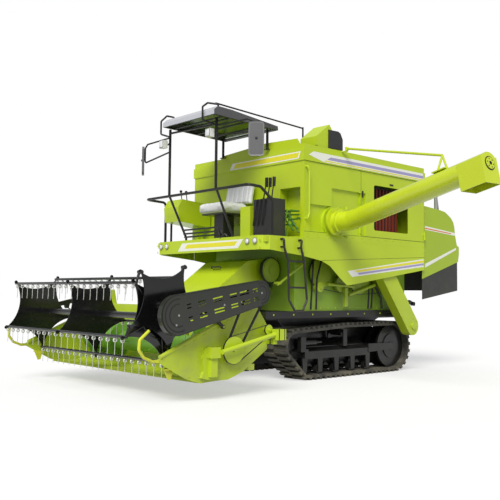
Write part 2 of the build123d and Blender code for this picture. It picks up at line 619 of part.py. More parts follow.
# front rails: main hand rail, inner post, braces and three foot bars
RAIL_X = 2520.0
RAIL_Z = 2590.0
RAIL_R = 19.0
BRACE_R = 16.5
with BuildPart() as front_rails:
    pipe(((2165, -1150, DECK_Z), (2165, -1150, 2575), (RAIL_X, -1150, RAIL_Z), (RAIL_X, 1110, RAIL_Z),
          (2345, 1150, 2575), (2130, 1150, 2420), (2130, 1150, DECK_Z)), RAIL_R, 60)
    pipe(((2055, -1150, DECK_Z), (2055, -1150, 2370), (2165, -1150, 2420)), BRACE_R, 50)
    for y_top, y_low in ((-576, -467), (478, 545)):
        pipe(((RAIL_X - 2, y_top, RAIL_Z - 4), (2290, y_low, DECK_Z + 40), (2290, y_low, DECK_Z)),
             BRACE_R, 24)
    for x, y, z in ((2343, 300, 2102), (2325, 352, 2050), (2307, 404, 2004)):
        pipe(((x, -480, z), (x, y, z), (x - 18, y + 36, DECK_Z + 24), (x - 18, y + 36, DECK_Z)), 12.5, 12)
save(front_rails.part, "front_rails")

# ladder and grab rail on the left
with BuildPart() as ladder:
    pipe(((2011, BODY_Y, 1915), (2011, 1250, 1915), (2008, 1250, 1808), (1935, 1250, 1642),
          (1912, 1250, 1121), (1800, 1250, 977), (1650, 1250, 977), (1569, 1250, 1121),
          (1631, 1250, 1650), (1690, 1250, 1818), (1672, 1250, 1915), (1672, BODY_Y, 1915)), 15, 24)
    rod((1934, 1250, 1630), (1628, 1250, 1630), 13)
    rod((1918, 1250, 1284), (1588, 1250, 1284), 13)
    for x in (2009, 1688):
        rod((x, BODY_Y, 1812), (x, 1250, 1812), 13)
    pipe(((1545, BODY_Y, 2930), (1545, 1238, 2930), (1520, 1238, 2860), (1520, 1238, 2290),
          (1545, 1238, 2220), (1545, BODY_Y, 2220)), 13, 20)
save(ladder.part, "ladder")

# canopy: shallow open-bottomed shell
CANOPY_Y0 = -500.0
CANOPY_Y1 = 640.0
CANOPY_REAR = 1530.0
CANOPY_FRONT = 2712.0
with BuildPart() as canopy:
    side_plate(((CANOPY_REAR, 3515), (CANOPY_REAR + 6, 3572), (2400, 3655), (CANOPY_FRONT - 60, 3664),
                (CANOPY_FRONT, 3610), (CANOPY_FRONT, 3550)), CANOPY_Y0, CANOPY_Y1)
    side_plate(((CANOPY_REAR + SHEET, 3500), (CANOPY_REAR + SHEET, 3566), (2400, 3648),
                (CANOPY_FRONT - 62, 3657), (CANOPY_FRONT - SHEET, 3606), (CANOPY_FRONT - SHEET, 3540)),
               CANOPY_Y0 + SHEET, CANOPY_Y1 - SHEET, mode=Mode.SUBTRACT)
save(canopy.part, "canopy")

# canopy frame: posts, cross bars, ribs, corner hoops, mirror arms and the long stay
POST_R = 19.0
FRONT_POSTS = (-581.0, 462.0)
POST_BASE = RAIL_Z + RAIL_R
REAR_POST_X = 1604.0
HOOP_END_Z = 3661.4
RIB_Z = 3526.0
RIB_RISE = 0.0297
with BuildPart() as canopy_frame:
    for y in FRONT_POSTS:
        rod((RAIL_X, y, POST_BASE), (RAIL_X, y, 3560), POST_R)
    for y in (-470, 496):
        rod((REAR_POST_X, y, 3250), (REAR_POST_X, y, 3545), POST_R)
        box(REAR_POST_X - 24, REAR_POST_X + 40, y - 34, y + 34, 3246, 3254)
    for y in (CANOPY_Y0 + 24, CANOPY_Y1 - 24):
        rod((1545, y, RIB_Z), (2690, y, RIB_Z + RIB_RISE * 1145), 15)
    for x in (REAR_POST_X, 1830, 2110, 2400, RAIL_X, 2690):
        z = RIB_Z + RIB_RISE * (x - 1545)
        rod((x, CANOPY_Y0 + SHEET, z), (x, CANOPY_Y1 - SHEET, z), 12)
    rod((RAIL_X, -581, 3505), (RAIL_X, 462, 3470), 15)
    # corner hoops
    pipe(((RAIL_X, -581, 3452), (2600, -700, 3500), (2600, -700, 3690), (2600, -560, 3745),
          (2560, -440, 3710), (2560, -440, HOOP_END_Z)), 13, 24)
    pipe(((RAIL_X, 462, 3456), (2730, 420, 3500), (2730, 420, 3680), (2660, 440, 3740),
          (2560, 540, 3720), (2560, 540, HOOP_END_Z)), 13, 20)
    # brackets of the work lamps
    box(RAIL_X + 8, 2548, -670, -576, 3333, 3357)
    box(RAIL_X + 8, 2548, 380, 466, 3338, 3362)
    # mirror arms
    pipe(((RAIL_X, 462, 3455), (2380, 940, 3485), (2300, 1015, 3430), (2300, 1015, 3330),
          (RAIL_X, 462, 3320)), 12, 34)
    pipe(((RAIL_X, -581, 3441), (2500, -1180, 3434), (2500, -1240, 3380), (2500, -1240, 3157),
          (RAIL_X, -581, 3235)), 12, 40)
    # stay from the hoop to the tank's elevator head
    rod((2590, 520, 3735), (1230, 838, 3560), 11)
    rod((1230, 838, 3575), (1230, 838, 3380), 12)
    box(1205, 1255, 838, 850, 3350, 3400)
save(canopy_frame.part, "canopy_frame")

# seat
SEAT_Z = 2330.0
BACK_Z = 2440.0
with BuildPart() as seat:
    box(1760, 2250, -280, 300, SEAT_Z, 2480)
    side_plate(((1752, 2485), (1690, 2800), (1640, 2790), (1680, BACK_Z), (1752, BACK_Z)), -290, 320)
    for index in range(5):
        y = -232 + index * 122
        box(1790, 2252, y - 5, y + 5, 2470, 2481, mode=Mode.SUBTRACT)
save(seat.part, "seat")

# consoles: seat pedestal and rear box, right console on its leg, column and the lever housing
with BuildPart() as consoles:
    box(1760, 2200, -220, 240, SEAT_Z - 22, SEAT_Z)
    box(1880, 2080, -90, 110, DECK_Z, SEAT_Z - 20)
    box(1780, 2180, -200, 220, DECK_Z, DECK_Z + 14)
    box(BODY_FRONT + GAP, 1752, -470, 600, 2200, BACK_Z)
    side_plate(((1600, 2205), (2200, 2265), (2220, 2480), (2150, 2600), (1600, 2560)), -1120, -760)
    box(1640, 1760, -1000, -880, DECK_Z, 2230)
    box(1810, 1990, 370, 570, DECK_Z, 2400)
    box(1740, 1990, 640, 1000, DECK_Z, 2480)
save(consoles.part, "consoles")

# levers with round knobs, the small console knobs and the linkage in the tank's recess
with BuildPart() as control_levers:
    for y, tip_x, tip_y, tip_z in ((720, 1900, 800, 2745), (800, 1900, 870, 2738), (880, 1900, 945, 2742)):
        rod((1880, y, 2480), (1880, y, 2510), 16)
        rod((1880, y, 2500), (tip_x, tip_y, tip_z), 9)
        rod((tip_x, tip_y, tip_z - 20), (tip_x, tip_y, tip_z + 34), 21)
    for x, z in ((1950, 2586.8), (2050, 2594.0)):
        rod((x, -900, z), (x, -900, z + 20), 12)
        rod((x, -900, z + 12), (x + 20, -900, 2720), 7)
        with Locations((x + 20, -900, 2735)):
            Sphere(22)
    for x in (1620, 1680):
        rod((x, 900, DECK_Z), (x, 900, DECK_Z + 30), 15)
        rod((x, 900, DECK_Z + 20), (x - 20, 960, 2350), 11)
    rod((1600, 960, 2350), (1470, 960, 2350), 10)
    rod((1610, 880, 2150), (1610, 1060, 2150), 12)
save(control_levers.part, "control_levers")

# lamps: four round lamps in the fascia, two square work lamps on the front posts
with BuildPart() as lamps:
    for y in (-1024, -882, 889, 1036):
        rod((FASCIA_X, y, 1885), (FASCIA_X + 14, y, 1885), 33)
    for y, z in ((-655, 3345), (400, 3350)):
        box(2548, 2622, y - 52, y + 52, z - 56, z + 56)
save(lamps.part, "lamps")

# mirrors
with BuildPart() as mirrors:
    with BuildSketch(Plane(origin=(2318, 1034, 3212), x_dir=(0.707, -0.707, 0), z_dir=(0.707, 0.707, 0))):
        RectangleRounded(205, 450, 40)
    extrude(amount=34)
    with BuildSketch(Plane(origin=(2318, 1034, 3212), x_dir=(0.707, -0.707, 0), z_dir=(0.707, 0.707, 0))):
        with Locations((0, -168)):
            Rectangle(30, 40)
    extrude(amount=-13.7)
    with BuildSketch(Plane(origin=(2500, -1262, 3190), x_dir=(0.57, 0.82, 0), z_dir=(0.82, -0.57, 0))):
        RectangleRounded(200, 420, 40)
    extrude(amount=30)
save(mirrors.part, "mirrors")

# unloading tube, shown swung out to the left: elbow, rising tube and the open-bottomed end box
az = radians(TUBE_AZ)
el = radians(TUBE_EL)
TUBE_DIR = Vector(cos(el) * sin(az), cos(el) * cos(az), sin(el))
ELBOW = Vector(FLANGE_X, SWING_Y + 258, FLANGE_Z)
TUBE_END = ELBOW + TUBE_DIR * TUBE_L
SPOUT_L = 350.0
SPOUT_DROP = 236.0
SPOUT_START = ELBOW + TUBE_DIR * (TUBE_L - SPOUT_L)
WALL = 5.0
spout_plane = Plane(origin=SPOUT_START, x_dir=(cos(az), -sin(az), 0), z_dir=TUBE_DIR)


def at(point, along=0.0, up=0.0):
    moved = point + TUBE_DIR * along
    return (moved.X, moved.Y, moved.Z + up)


with BuildPart() as unloader_tube:
    rod((FLANGE_X, SWING_Y - 22, FLANGE_Z), at(ELBOW), TUBE_R)
    with Locations(at(ELBOW)):
        Sphere(TUBE_R)
    rod(at(ELBOW), at(TUBE_END), TUBE_R)
    rod((FLANGE_X, SWING_Y - 22, FLANGE_Z), (FLANGE_X, SWING_Y - 8, FLANGE_Z), FLANGE_R - 20)
    rod((FLANGE_X, SWING_Y + 60, FLANGE_Z), (FLANGE_X, SWING_Y + 76, FLANGE_Z), TUBE_R + 26)
    for z in (FLANGE_Z - FLANGE_R + 28, FLANGE_Z + FLANGE_R - 48):
        box(SWING_X, FLANGE_X - 60, SWING_Y - 8, SWING_Y + 30, z, z + 18)
        rod((SWING_X, SWING_Y, z), (SWING_X, SWING_Y, z + 18), 26)
    with BuildSketch(spout_plane):
        with Locations((0, SPOUT_DROP / 2 - 40)):
            Rectangle(2 * TUBE_R, SPOUT_DROP + 80)
    extrude(amount=SPOUT_L)
    with BuildSketch(spout_plane.offset(WALL)):
        with Locations((0, SPOUT_DROP / 2 + 10)):
            Rectangle(2 * (TUBE_R - WALL), SPOUT_DROP + 20)
    extrude(amount=SPOUT_L - 2 * WALL, mode=Mode.SUBTRACT)
    rod((FLANGE_X, SWING_Y - 30, FLANGE_Z), at(ELBOW), TUBE_R - WALL, mode=Mode.SUBTRACT)
    with Locations(at(ELBOW)):
        Sphere(TUBE_R - WALL, mode=Mode.SUBTRACT)
    rod(at(ELBOW), at(TUBE_END, -WALL), TUBE_R - WALL, mode=Mode.SUBTRACT)
    rod(at(TUBE_END, -14), at(TUBE_END, 12), 70)
    rod((SWING_X, SWING_Y, FLANGE_Z - FLANGE_R), (SWING_X, SWING_Y, FLANGE_Z + FLANGE_R), HINGE_PIN + 0.5,
        mode=Mode.SUBTRACT)
save(unloader_tube.part, "unloader_tube")

STAY_ALONG = 1640.0
STAY_UP = 330.0
with BuildPart() as unloader_stay:
    stay_plane = Plane(origin=ELBOW + TUBE_DIR * STAY_ALONG, x_dir=(cos(az), -sin(az), 0), z_dir=TUBE_DIR)
    foot = at(ELBOW, STAY_ALONG, TUBE_R)
    clevis = at(ELBOW, STAY_ALONG - 20, STAY_UP)
    with BuildSketch(stay_plane.offset(-100)) as saddle:
        with Locations((0, -TUBE_R - 7.5)):
            Rectangle(150, 14)
    extrude(saddle.sketch, amount=200)
    rod((foot[0] - 30, foot[1] + 30, foot[2] + 22), clevis, 13)
    rod((foot[0] + 30, foot[1] - 60, foot[2] + 10), clevis, 13)
    rod((SWING_X, SWING_Y, 3272), clevis, 16)
    rod((SWING_X, SWING_Y, 3242.5), (SWING_X, SWING_Y, 3292), 24)
    rod((SWING_X, SWING_Y, 3240), (SWING_X, SWING_Y, 3312), HINGE_PIN + 1.2, mode=Mode.SUBTRACT)
save(unloader_stay.part, "unloader_stay")

# feeder house: hollow channel from the header's opening up to the thresher, turning about LIFT
FEED_TOP = ((1425, 1600), (1470, 1680), (1560, 1700), (1930, 1645), (2655, 1125))
FEED_LOW = ((2655, 545), (1640, 1290), (1470, 1400))
FEED_IN_TOP = ((1400, 1590), (1474, 1672), (1560, 1694), (1927, 1639), (2680, 1101))
FEED_IN_LOW = ((2680, 533), (1644, 1296), (1400, 1450))
EYE_X = 2440.0
EYE_Z = 640.0
PIN_R = 12.0
with BuildPart() as feeder_house:
    side_plate(FEED_TOP + FEED_LOW, -FEED_HALF, FEED_HALF)
    side_plate(FEED_IN_TOP + FEED_IN_LOW, -FEED_HALF + SHEET, FEED_HALF - SHEET, mode=Mode.SUBTRACT)
    rod((LIFT_X, -FEED_HALF - 1, LIFT_Z), (LIFT_X, FEED_HALF + 1, LIFT_Z), 29, mode=Mode.SUBTRACT)
    pipe(((2090, -90, 1530), (2130, -90, 1570), (2130, 110, 1570), (2090, 110, 1530)), 10, 14)
    for side in (1, -1):
        for offset in (-40, 28):
            y0 = side * 300 + offset
            side_plate(((2360, 768), (2500, 665), (2475, 610), (2440, 600), (2405, 620)), y0, y0 + 12)
save(feeder_house.part, "feeder_house")

# lift cylinders below the feeder house
BARREL_R = 42.0
ROD_R = 24.0
cyl_len = hypot(EYE_X - CYL_X, EYE_Z - CYL_Z)


def on_line(x0, z0, x1, z1, y, s):
    long = hypot(x1 - x0, z1 - z0)
    return (x0 + (x1 - x0) * s / long, y, z0 + (z1 - z0) * s / long)


with BuildPart() as lift_barrels:
    for side in (1, -1):
        y = side * CYL_Y
        rod(on_line(CYL_X, CYL_Z, EYE_X, EYE_Z, y, 10), on_line(CYL_X, CYL_Z, EYE_X, EYE_Z, y, 80), 20)
        rod(on_line(CYL_X, CYL_Z, EYE_X, EYE_Z, y, 62), on_line(CYL_X, CYL_Z, EYE_X, EYE_Z, y, 480), BARREL_R)
        rod(on_line(CYL_X, CYL_Z, EYE_X, EYE_Z, y, 68), on_line(CYL_X, CYL_Z, EYE_X, EYE_Z, y, 481),
            ROD_R + 0.5, mode=Mode.SUBTRACT)
        disc(CYL_X, y, CYL_Z, 38, 40)
        disc(CYL_X, y, CYL_Z, CYL_PIN + 0.5, 60, mode=Mode.SUBTRACT)
save(lift_barrels.part, "lift_barrels")

with BuildPart() as lift_rods:
    for side in (1, -1):
        y = side * CYL_Y
        rod(on_line(CYL_X, CYL_Z, EYE_X, EYE_Z, y, 70), on_line(CYL_X, CYL_Z, EYE_X, EYE_Z, y, cyl_len - 20),
            ROD_R)
        disc(EYE_X, y, EYE_Z, 32, 36)
        disc(EYE_X, y, EYE_Z, PIN_R, 52)
save(lift_rods.part, "lift_rods")

# header body: end sheets, trough, back wall with the feed opening, beams and arm brackets
END_SHEET = ((4229, 481), (2957, 1030), (2747, 1030), (2596, 823), (2592, 535), (2978, 290),
             (3209, 214), (3402, 212), (3618, 200), (3828, 265))
TROUGH = ((3690, 240), (3400, 236), (3197, 284), (3060, 306), (2960, 380), (2908, 480), (2905, 1030))
BACK_X = 2905.0
with BuildPart() as header_body:
    for side in (1, -1):
        lo, hi = sorted((side * HEADER_HALF, side * (HEADER_HALF - SHEET)))
        side_plate(END_SHEET, lo, hi)
        rod((4165, side * (HEADER_HALF - 10), 511), (2957, side * (HEADER_HALF - 10), 1030), 24)
        # bracket for the reel arm
        lo, hi = sorted((side * (HEADER_HALF - 30), side * (HEADER_HALF - 6)))
        side_plate(((2760, 1000), (2960, 1000), (2925, 1240), (2811, 1240)), lo, hi)
        rod((ARM_X, side * (HEADER_HALF - 30), ARM_Z), (ARM_X, side * (ARM_Y + 26), ARM_Z), 20)
        # lug for the reel cylinder
        rod((3330, side * (HEADER_HALF - 10), 820), (3330, side * (ARM_Y + 20), 820), 13)
    side_plate(TROUGH + tuple((x - 5, z - 5) for x, z in reversed(TROUGH)), -HEADER_HALF, HEADER_HALF)
    box(2765, BACK_X, -HEADER_HALF, HEADER_HALF, 950, 1030)
    box(2800, BACK_X - 8, -HEADER_HALF, HEADER_HALF, 300, 370)
    box(3560, 3650, -HEADER_HALF, HEADER_HALF, 205, 236)
    for y in (-1100, -444, 444, 1100):
        box(2830, BACK_X - 5, y - 20, y + 20, 370, 950)
        side_plate(((2840, 300), (3080, 262), (3600, 205), (3600, 218), (3080, 290), (2840, 330)), y - 18, y + 18)
    box(BACK_X - 90, BACK_X + 10, -FEED_HALF + 26, FEED_HALF - 26, 400, 940, mode=Mode.SUBTRACT)
    rod((AUGER_X, -HEADER_HALF - 40, AUGER_Z), (AUGER_X, HEADER_HALF + 40, AUGER_Z), 25, mode=Mode.SUBTRACT)
    # adapter frame to the feeder house
    for side in (1, -1):
        box(2655 + GAP, 2835, side * (FEED_HALF - 24), side * (FEED_HALF + 14), 560, 1030)
    box(2655 + GAP, 2770, -FEED_HALF - 14, FEED_HALF + 14, 1000, 1030)
    box(2655 + GAP, 2840, -FEED_HALF - 14, FEED_HALF + 14, 520, 556)
save(header_body.part, "header_body")

# header auger: tube, opposed flights, stub shafts
FLIGHT_PITCH = 500.0
FLIGHT_T = 8.0
AUGER_HALF = HEADER_HALF - SHEET - 12.0
with BuildPart() as header_auger:
    rod((AUGER_X, -AUGER_HALF, AUGER_Z), (AUGER_X, AUGER_HALF, AUGER_Z), AUGER_TUBE_R)
    rod((AUGER_X, -HEADER_HALF - 30, AUGER_Z), (AUGER_X, -AUGER_HALF, AUGER_Z), 24)
    rod((AUGER_X, AUGER_HALF, AUGER_Z), (AUGER_X, HEADER_HALF + 60, AUGER_Z), 24)
    for side in (1, -1):
        start = Plane(origin=(AUGER_X, side * AUGER_HALF, AUGER_Z), x_dir=(0, 0, 1), z_dir=(0, -side, 0))
        turns = Helix(pitch=FLIGHT_PITCH, height=1050, radius=(AUGER_R + AUGER_TUBE_R) / 2, lefthand=side < 0)
        path = turns.moved(start.location)
        with BuildSketch(Plane(origin=path @ 0, x_dir=start.x_dir, z_dir=path % 0)) as section:
            Rectangle(AUGER_R - AUGER_TUBE_R + 8, FLIGHT_T)
        sweep(section.sketch, path=path, is_frenet=True)
    for index in range(9):
        y = -340 + index * 85
        turn = radians(index * 100)
        rod((AUGER_X, y, AUGER_Z), (AUGER_X + 236 * cos(turn), y, AUGER_Z + 236 * sin(turn)), 8)
save(header_auger.part, "header_auger")

# knife bar: back strip, fingers and the knife's teeth
FINGER_PITCH = 76.2
FINGERS = 39
with BuildPart() as cutter_bar:
    box(3690, 3722, -HEADER_HALF + SHEET, HEADER_HALF - SHEET, 232, 250)
    with BuildSketch(Plane.XY.offset(236)) as fingers:
        for index in range(FINGERS):
            y = (index - (FINGERS - 1) / 2) * FINGER_PITCH
            with BuildLine():
                Polyline((3715, y - 17), (3780, y - 12), (3822, y - 3), (3822, y + 3), (3780, y + 12),
                         (3715, y + 17), close=True)
            make_face()
    extrude(amount=22)
    with BuildSketch(Plane.XY.offset(259)) as knife:
        for index in range(FINGERS - 1):
            y = (index + 0.5 - (FINGERS - 1) / 2) * FINGER_PITCH
            with BuildLine():
                Polyline((3700, y - 38), (3784, y - 6), (3784, y + 6), (3700, y + 38), close=True)
            make_face()
    extrude(amount=4)
    box(3692, 3712, -HEADER_HALF + 10, HEADER_HALF - 10, 250, 263)
save(cutter_bar.part, "cutter_bar")

# crop dividers: bent pipes at both front corners, with the skids
with BuildPart() as crop_dividers:
    for side in (1, -1):
        y = side * HEADER_HALF
        pipe(((4312, y, 800), (4428, y, 706), (4436, y, 604), (4372, y, 520), (4250, y, 470)), 17, 40)
        box(4178, 4258, side * HEADER_HALF, side * (HEADER_HALF + 6), 458, 492)
        lo, hi = sorted((side * (HEADER_HALF - 40), side * (HEADER_HALF - 48)))
        side_plate(((4090, 400), (4030, 262), (3990, 268), (3960, 372)), lo, hi)
        box(3970, 4080, side * (HEADER_HALF - 48), side * (HEADER_HALF - SHEET), 372, 384)
save(crop_dividers.part, "crop_dividers")

# header drive on the left: belt pulleys, knife drive tube with its boxes
HD_Y = 1632.0
with BuildPart() as header_drive:
    disc(AUGER_X, HD_Y, AUGER_Z, 156, 20)
    disc(AUGER_X, HD_Y, AUGER_Z, 25, 22, mode=Mode.SUBTRACT)
    disc(2650, HD_Y, 770, 60, 24)
    rod((2650, HEADER_HALF, 770), (2650, HD_Y + 30, 770), 20)
    belt_loop(AUGER_X, AUGER_Z, 156, 2650, 770, 60, HD_Y - 7, HD_Y + 7, 7)
    box(2480, 2615, HD_Y + 20, HD_Y + 130, 650, 780)
    box(2560, 2620, HEADER_HALF, HD_Y + 60, 600, 650)
    rod((2610, HD_Y + 70, 716), (3430, HD_Y + 70, 545), 28)
    side_plate(((3400, 470), (3470, 590), (3560, 585), (3620, 480), (3600, 330), (3640, 262), (3500, 232),
                (3400, 250)), HEADER_HALF, HEADER_HALF + 46)
    box(3430, 3560, HEADER_HALF + 40, HEADER_HALF + 130, 480, 600)
    box(3450, 3540, HEADER_HALF + 40, HEADER_HALF + 100, 270, 480)
save(header_drive.part, "header_drive")

# reel arms with lugs for the lift cylinders
ARM_H = 62.0
ARM_T = 36.0
arm_len = hypot(REEL_X - ARM_X, REEL_Z - ARM_Z)
arm_turn = degrees(atan2(REEL_Z - ARM_Z, REEL_X - ARM_X))
RAM_X = 3330.0
RAM_Z = 820.0
RAM_EYE_X = 3560.0
RAM_EYE_Z = 988.0
with BuildPart() as reel_arms:
    for side in (1, -1):
        y = side * ARM_Y
        with BuildSketch(xz_plane(y - ARM_T / 2)):
            with Locations(Location(((ARM_X + REEL_X) / 2, (ARM_Z + REEL_Z) / 2, 0), (0, 0, arm_turn))):
                SlotCenterToCenter(arm_len, ARM_H)
        extrude(amount=-ARM_T)
        disc(ARM_X, y, ARM_Z, 20.5, ARM_T + 2, mode=Mode.SUBTRACT)
        disc(REEL_X, y, REEL_Z, 46, ARM_T)
        disc(REEL_X, y, REEL_Z, 22.5, ARM_T + 2, mode=Mode.SUBTRACT)
        for offset in (-20, 12):
            side_plate(((RAM_EYE_X - 45, RAM_EYE_Z + 60), (RAM_EYE_X + 45, RAM_EYE_Z + 40),
                        (RAM_EYE_X + 22, RAM_EYE_Z - 24), (RAM_EYE_X - 22, RAM_EYE_Z - 20)),
                       y + offset, y + offset + 8)
save(reel_arms.part, "reel_arms")

ram_len = hypot(RAM_EYE_X - RAM_X, RAM_EYE_Z - RAM_Z)
with BuildPart() as reel_barrels:
    for side in (1, -1):
        y = side * ARM_Y
        rod(on_line(RAM_X, RAM_Z, RAM_EYE_X, RAM_EYE_Z, y, 18), on_line(RAM_X, RAM_Z, RAM_EYE_X, RAM_EYE_Z, y, 196), 21)
        rod(on_line(RAM_X, RAM_Z, RAM_EYE_X, RAM_EYE_Z, y, 34), on_line(RAM_X, RAM_Z, RAM_EYE_X, RAM_EYE_Z, y, 197),
            11.5, mode=Mode.SUBTRACT)
        disc(RAM_X, y, RAM_Z, 24, 30)
        disc(RAM_X, y, RAM_Z, 13.5, 44, mode=Mode.SUBTRACT)
save(reel_barrels.part, "reel_barrels")

with BuildPart() as reel_rods:
    for side in (1, -1):
        y = side * ARM_Y
        rod(on_line(RAM_X, RAM_Z, RAM_EYE_X, RAM_EYE_Z, y, 40), on_line(RAM_X, RAM_Z, RAM_EYE_X, RAM_EYE_Z, y, ram_len),
            11)
        disc(RAM_EYE_X, y, RAM_EYE_Z, 17, 18)
        disc(RAM_EYE_X, y, RAM_EYE_Z, 8, 22.8)
save(reel_rods.part, "reel_rods")

# reel drive guard: tapered stadium shell with rows of slots
GUARD_Y0 = 1662.0
GUARD_Y1 = 1744.0
GUARD_A = (4070.0, 962.0, 218.0)
GUARD_B = (2868.0, 1208.0, 148.0)


def guard_outline(shrink):
    with BuildSketch(Plane.XY) as outline:
        for x, z, r in (GUARD_A, GUARD_B):
            with Locations((x, z)):
                Circle(r - shrink)
        make_hull()
    return outline.sketch


guard_turn = degrees(atan2(GUARD_B[1] - GUARD_A[1], GUARD_B[0] - GUARD_A[0]))
SLOTS = ((150, 60), (330, 110), (560, 150), (790, 110), (960, 150), (1130, 80))
with BuildPart() as reel_guard:
    with BuildSketch(xz_plane(GUARD_Y0)):
        add(guard_outline(0))
    extrude(amount=-(GUARD_Y1 - GUARD_Y0 - 14))
    with BuildSketch(xz_plane(GUARD_Y1 - 14)):
        add(guard_outline(12))
    extrude(amount=-14)
    with BuildSketch(xz_plane(GUARD_Y0 - 1)):
        add(guard_outline(18))
    extrude(amount=-(GUARD_Y1 - GUARD_Y0 - 4), mode=Mode.SUBTRACT)
    with BuildSketch(xz_plane(GUARD_Y1 - 10)):
        for along, long in SLOTS:
            for row in (-92, -52, 52, 92):
                reach = row * (1.0 - 0.00025 * along)
                spot_x = GUARD_A[0] + along * cos(radians(guard_turn)) - reach * sin(radians(guard_turn))
                spot_z = GUARD_A[1] + along * sin(radians(guard_turn)) + reach * cos(radians(guard_turn))
                with Locations(Location((spot_x, spot_z, 0), (0, 0, guard_turn))):
                    SlotOverall(long, 15)
    extrude(amount=-20, mode=Mode.SUBTRACT)
    for x, z in ((GUARD_B[0], GUARD_B[1]), (3440, 1070)):
        rod((x, ARM_Y + ARM_T / 2 + 12, z), (x, GUARD_Y1 - 4, z), 14)
    box(3420, 3460, ARM_Y + ARM_T / 2, ARM_Y + ARM_T / 2 + 12, 1056, 1084)
save(reel_guard.part, "reel_guard")

# reel: shaft, star plates with hollow sides, five bats, eccentric star and cranks
BAT_R = 17.0
STAR_R = REEL_R + 26.0
STAR_WAIST = 304.0
STAR_T = 8.0
ECC_X = -36.0
ECC_Z = 112.0
ECC_Y = 1462.0


def star_points(radius, waist, cx=REEL_X, cz=REEL_Z):
    tips = []
    waists = []
    for index in range(REEL_BATS):
        turn = radians(REEL_START + index * 360 / REEL_BATS)
        half = radians(REEL_START + (index + 0.5) * 360 / REEL_BATS)
        tips.append((cx + radius * cos(turn), cz + radius * sin(turn)))
        waists.append((cx + waist * cos(half), cz + waist * sin(half)))
    return tips, waists


def star(radius, waist, y, thick, cx=REEL_X, cz=REEL_Z):
    tips, waists = star_points(radius, waist, cx, cz)
    with BuildSketch(xz_plane(y - thick / 2)) as section:
        with BuildLine():
            for index in range(REEL_BATS):
                ThreePointArc(tips[index], waists[index], tips[(index + 1) % REEL_BATS])
        make_face()
        with Locations(*tips):
            Circle(22)
    extrude(section.sketch, amount=-thick)


with BuildPart() as reel:
    rod((REEL_X, -ARM_Y - 34, REEL_Z), (REEL_X, ARM_Y + 34, REEL_Z), 22)
    rod((REEL_X, -REEL_HALF, REEL_Z), (REEL_X, REEL_HALF, REEL_Z), 38)
    for y in (-REEL_HALF, 0, REEL_HALF):
        star(STAR_R, STAR_WAIST, y, STAR_T)
    star(REEL_R + 8, STAR_WAIST, ECC_Y, 10, REEL_X + ECC_X, REEL_Z + ECC_Z)
    disc(REEL_X + ECC_X, ECC_Y - 16, REEL_Z + ECC_Z, 270, 14)
    bat_points = star_points(REEL_R, STAR_WAIST)[0]
    ecc_points = star_points(REEL_R, STAR_WAIST, REEL_X + ECC_X, REEL_Z + ECC_Z)[0]
    for (x, z), (ex, ez) in zip(bat_points, ecc_points):
        rod((x, -REEL_HALF - 40, z), (x, REEL_HALF + 44, z), BAT_R)
        rod((x, ECC_Y - 26, z), (ex, ECC_Y - 26, ez), 15)
        rod((ex, ECC_Y - 40, ez), (ex, ECC_Y + 22, ez), 22)
save(reel.part, "reel")

TINES = 20
with BuildPart() as reel_tines:
    for x, z in bat_points:
        coil_top = z - BAT_R
        spots = [(x, (index - (TINES - 1) / 2) * TINE_PITCH) for index in range(TINES)]
        with Locations(*[(sx, sy, coil_top - 13) for sx, sy in spots]):
            Box(24, 34, 26)
        with Locations(*[(sx + 4, sy, coil_top - TINE_L / 2 + 8) for sx, sy in spots]):
            Box(8, 8, TINE_L - 20)
save(reel_tines.part, "reel_tines")
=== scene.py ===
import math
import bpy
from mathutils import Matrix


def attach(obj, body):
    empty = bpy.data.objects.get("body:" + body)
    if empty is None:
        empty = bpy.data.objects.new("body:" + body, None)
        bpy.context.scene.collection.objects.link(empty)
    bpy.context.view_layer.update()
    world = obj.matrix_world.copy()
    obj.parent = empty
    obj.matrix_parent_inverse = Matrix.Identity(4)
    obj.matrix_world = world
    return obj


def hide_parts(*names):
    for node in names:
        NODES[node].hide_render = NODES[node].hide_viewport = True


bl_info = {
    "name": "Crawler combine harvester",
    "version": (1, 0, 0),
    "blender": (4, 5, 0),
    "location": "3D View > Sidebar > Harvester",
    "description": "Dresses the harvester's frame with paint, stripes, seat, glass and fittings",
    "category": "Object",
}

import bpy
from bpy.props import FloatProperty, FloatVectorProperty, PointerProperty
from mathutils import Matrix, Vector

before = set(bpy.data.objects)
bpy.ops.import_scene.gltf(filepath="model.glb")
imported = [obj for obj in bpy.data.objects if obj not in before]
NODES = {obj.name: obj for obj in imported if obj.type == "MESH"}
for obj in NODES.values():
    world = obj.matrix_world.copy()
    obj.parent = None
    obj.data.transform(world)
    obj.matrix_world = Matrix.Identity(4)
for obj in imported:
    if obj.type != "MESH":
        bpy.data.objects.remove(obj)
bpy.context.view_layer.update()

# the frame's origin lies this far forward and left of the machine's own centre plane
SHIFT = Vector((1.112, 1.0895, 0.0))

# the machine's faces: how far they lie from its centre plane, and for the last two how far forward
TANK_SIDE = 1.205
BODY_SIDE = 1.191
HOOD_SIDE = 1.150
THRESHER_SIDE = 0.850
FEEDER_SIDE = 0.450
RAIL_SIDE = 0.905
HEADER_SIDE = 1.550
GUARD_SIDE = 1.744
TANK_FRONT = 1.588
FASCIA = 2.321

# shafts that run across the machine, each x and z
REEL = (4.070, 0.940)
FEEDER_PULLEY = (1.590, 1.530)

# the reel's bats and their tines
BATS = 5
FIRST_BAT = math.radians(47.4)
BAT_REACH = 0.495
TINES_ON_BAT = 20
TINE_STEP = 0.145

FACING_SIDE = (math.radians(90), 0, 0)
FACING_FRONT = (0, math.radians(90), 0)

BLACK = (0.02, 0.02, 0.021)
BELT_BLACK = (0.018, 0.018, 0.018)


def here(x, y, z):
    """A point given from the machine's centre plane, in the frame."""
    return Vector((x, y, z)) - SHIFT


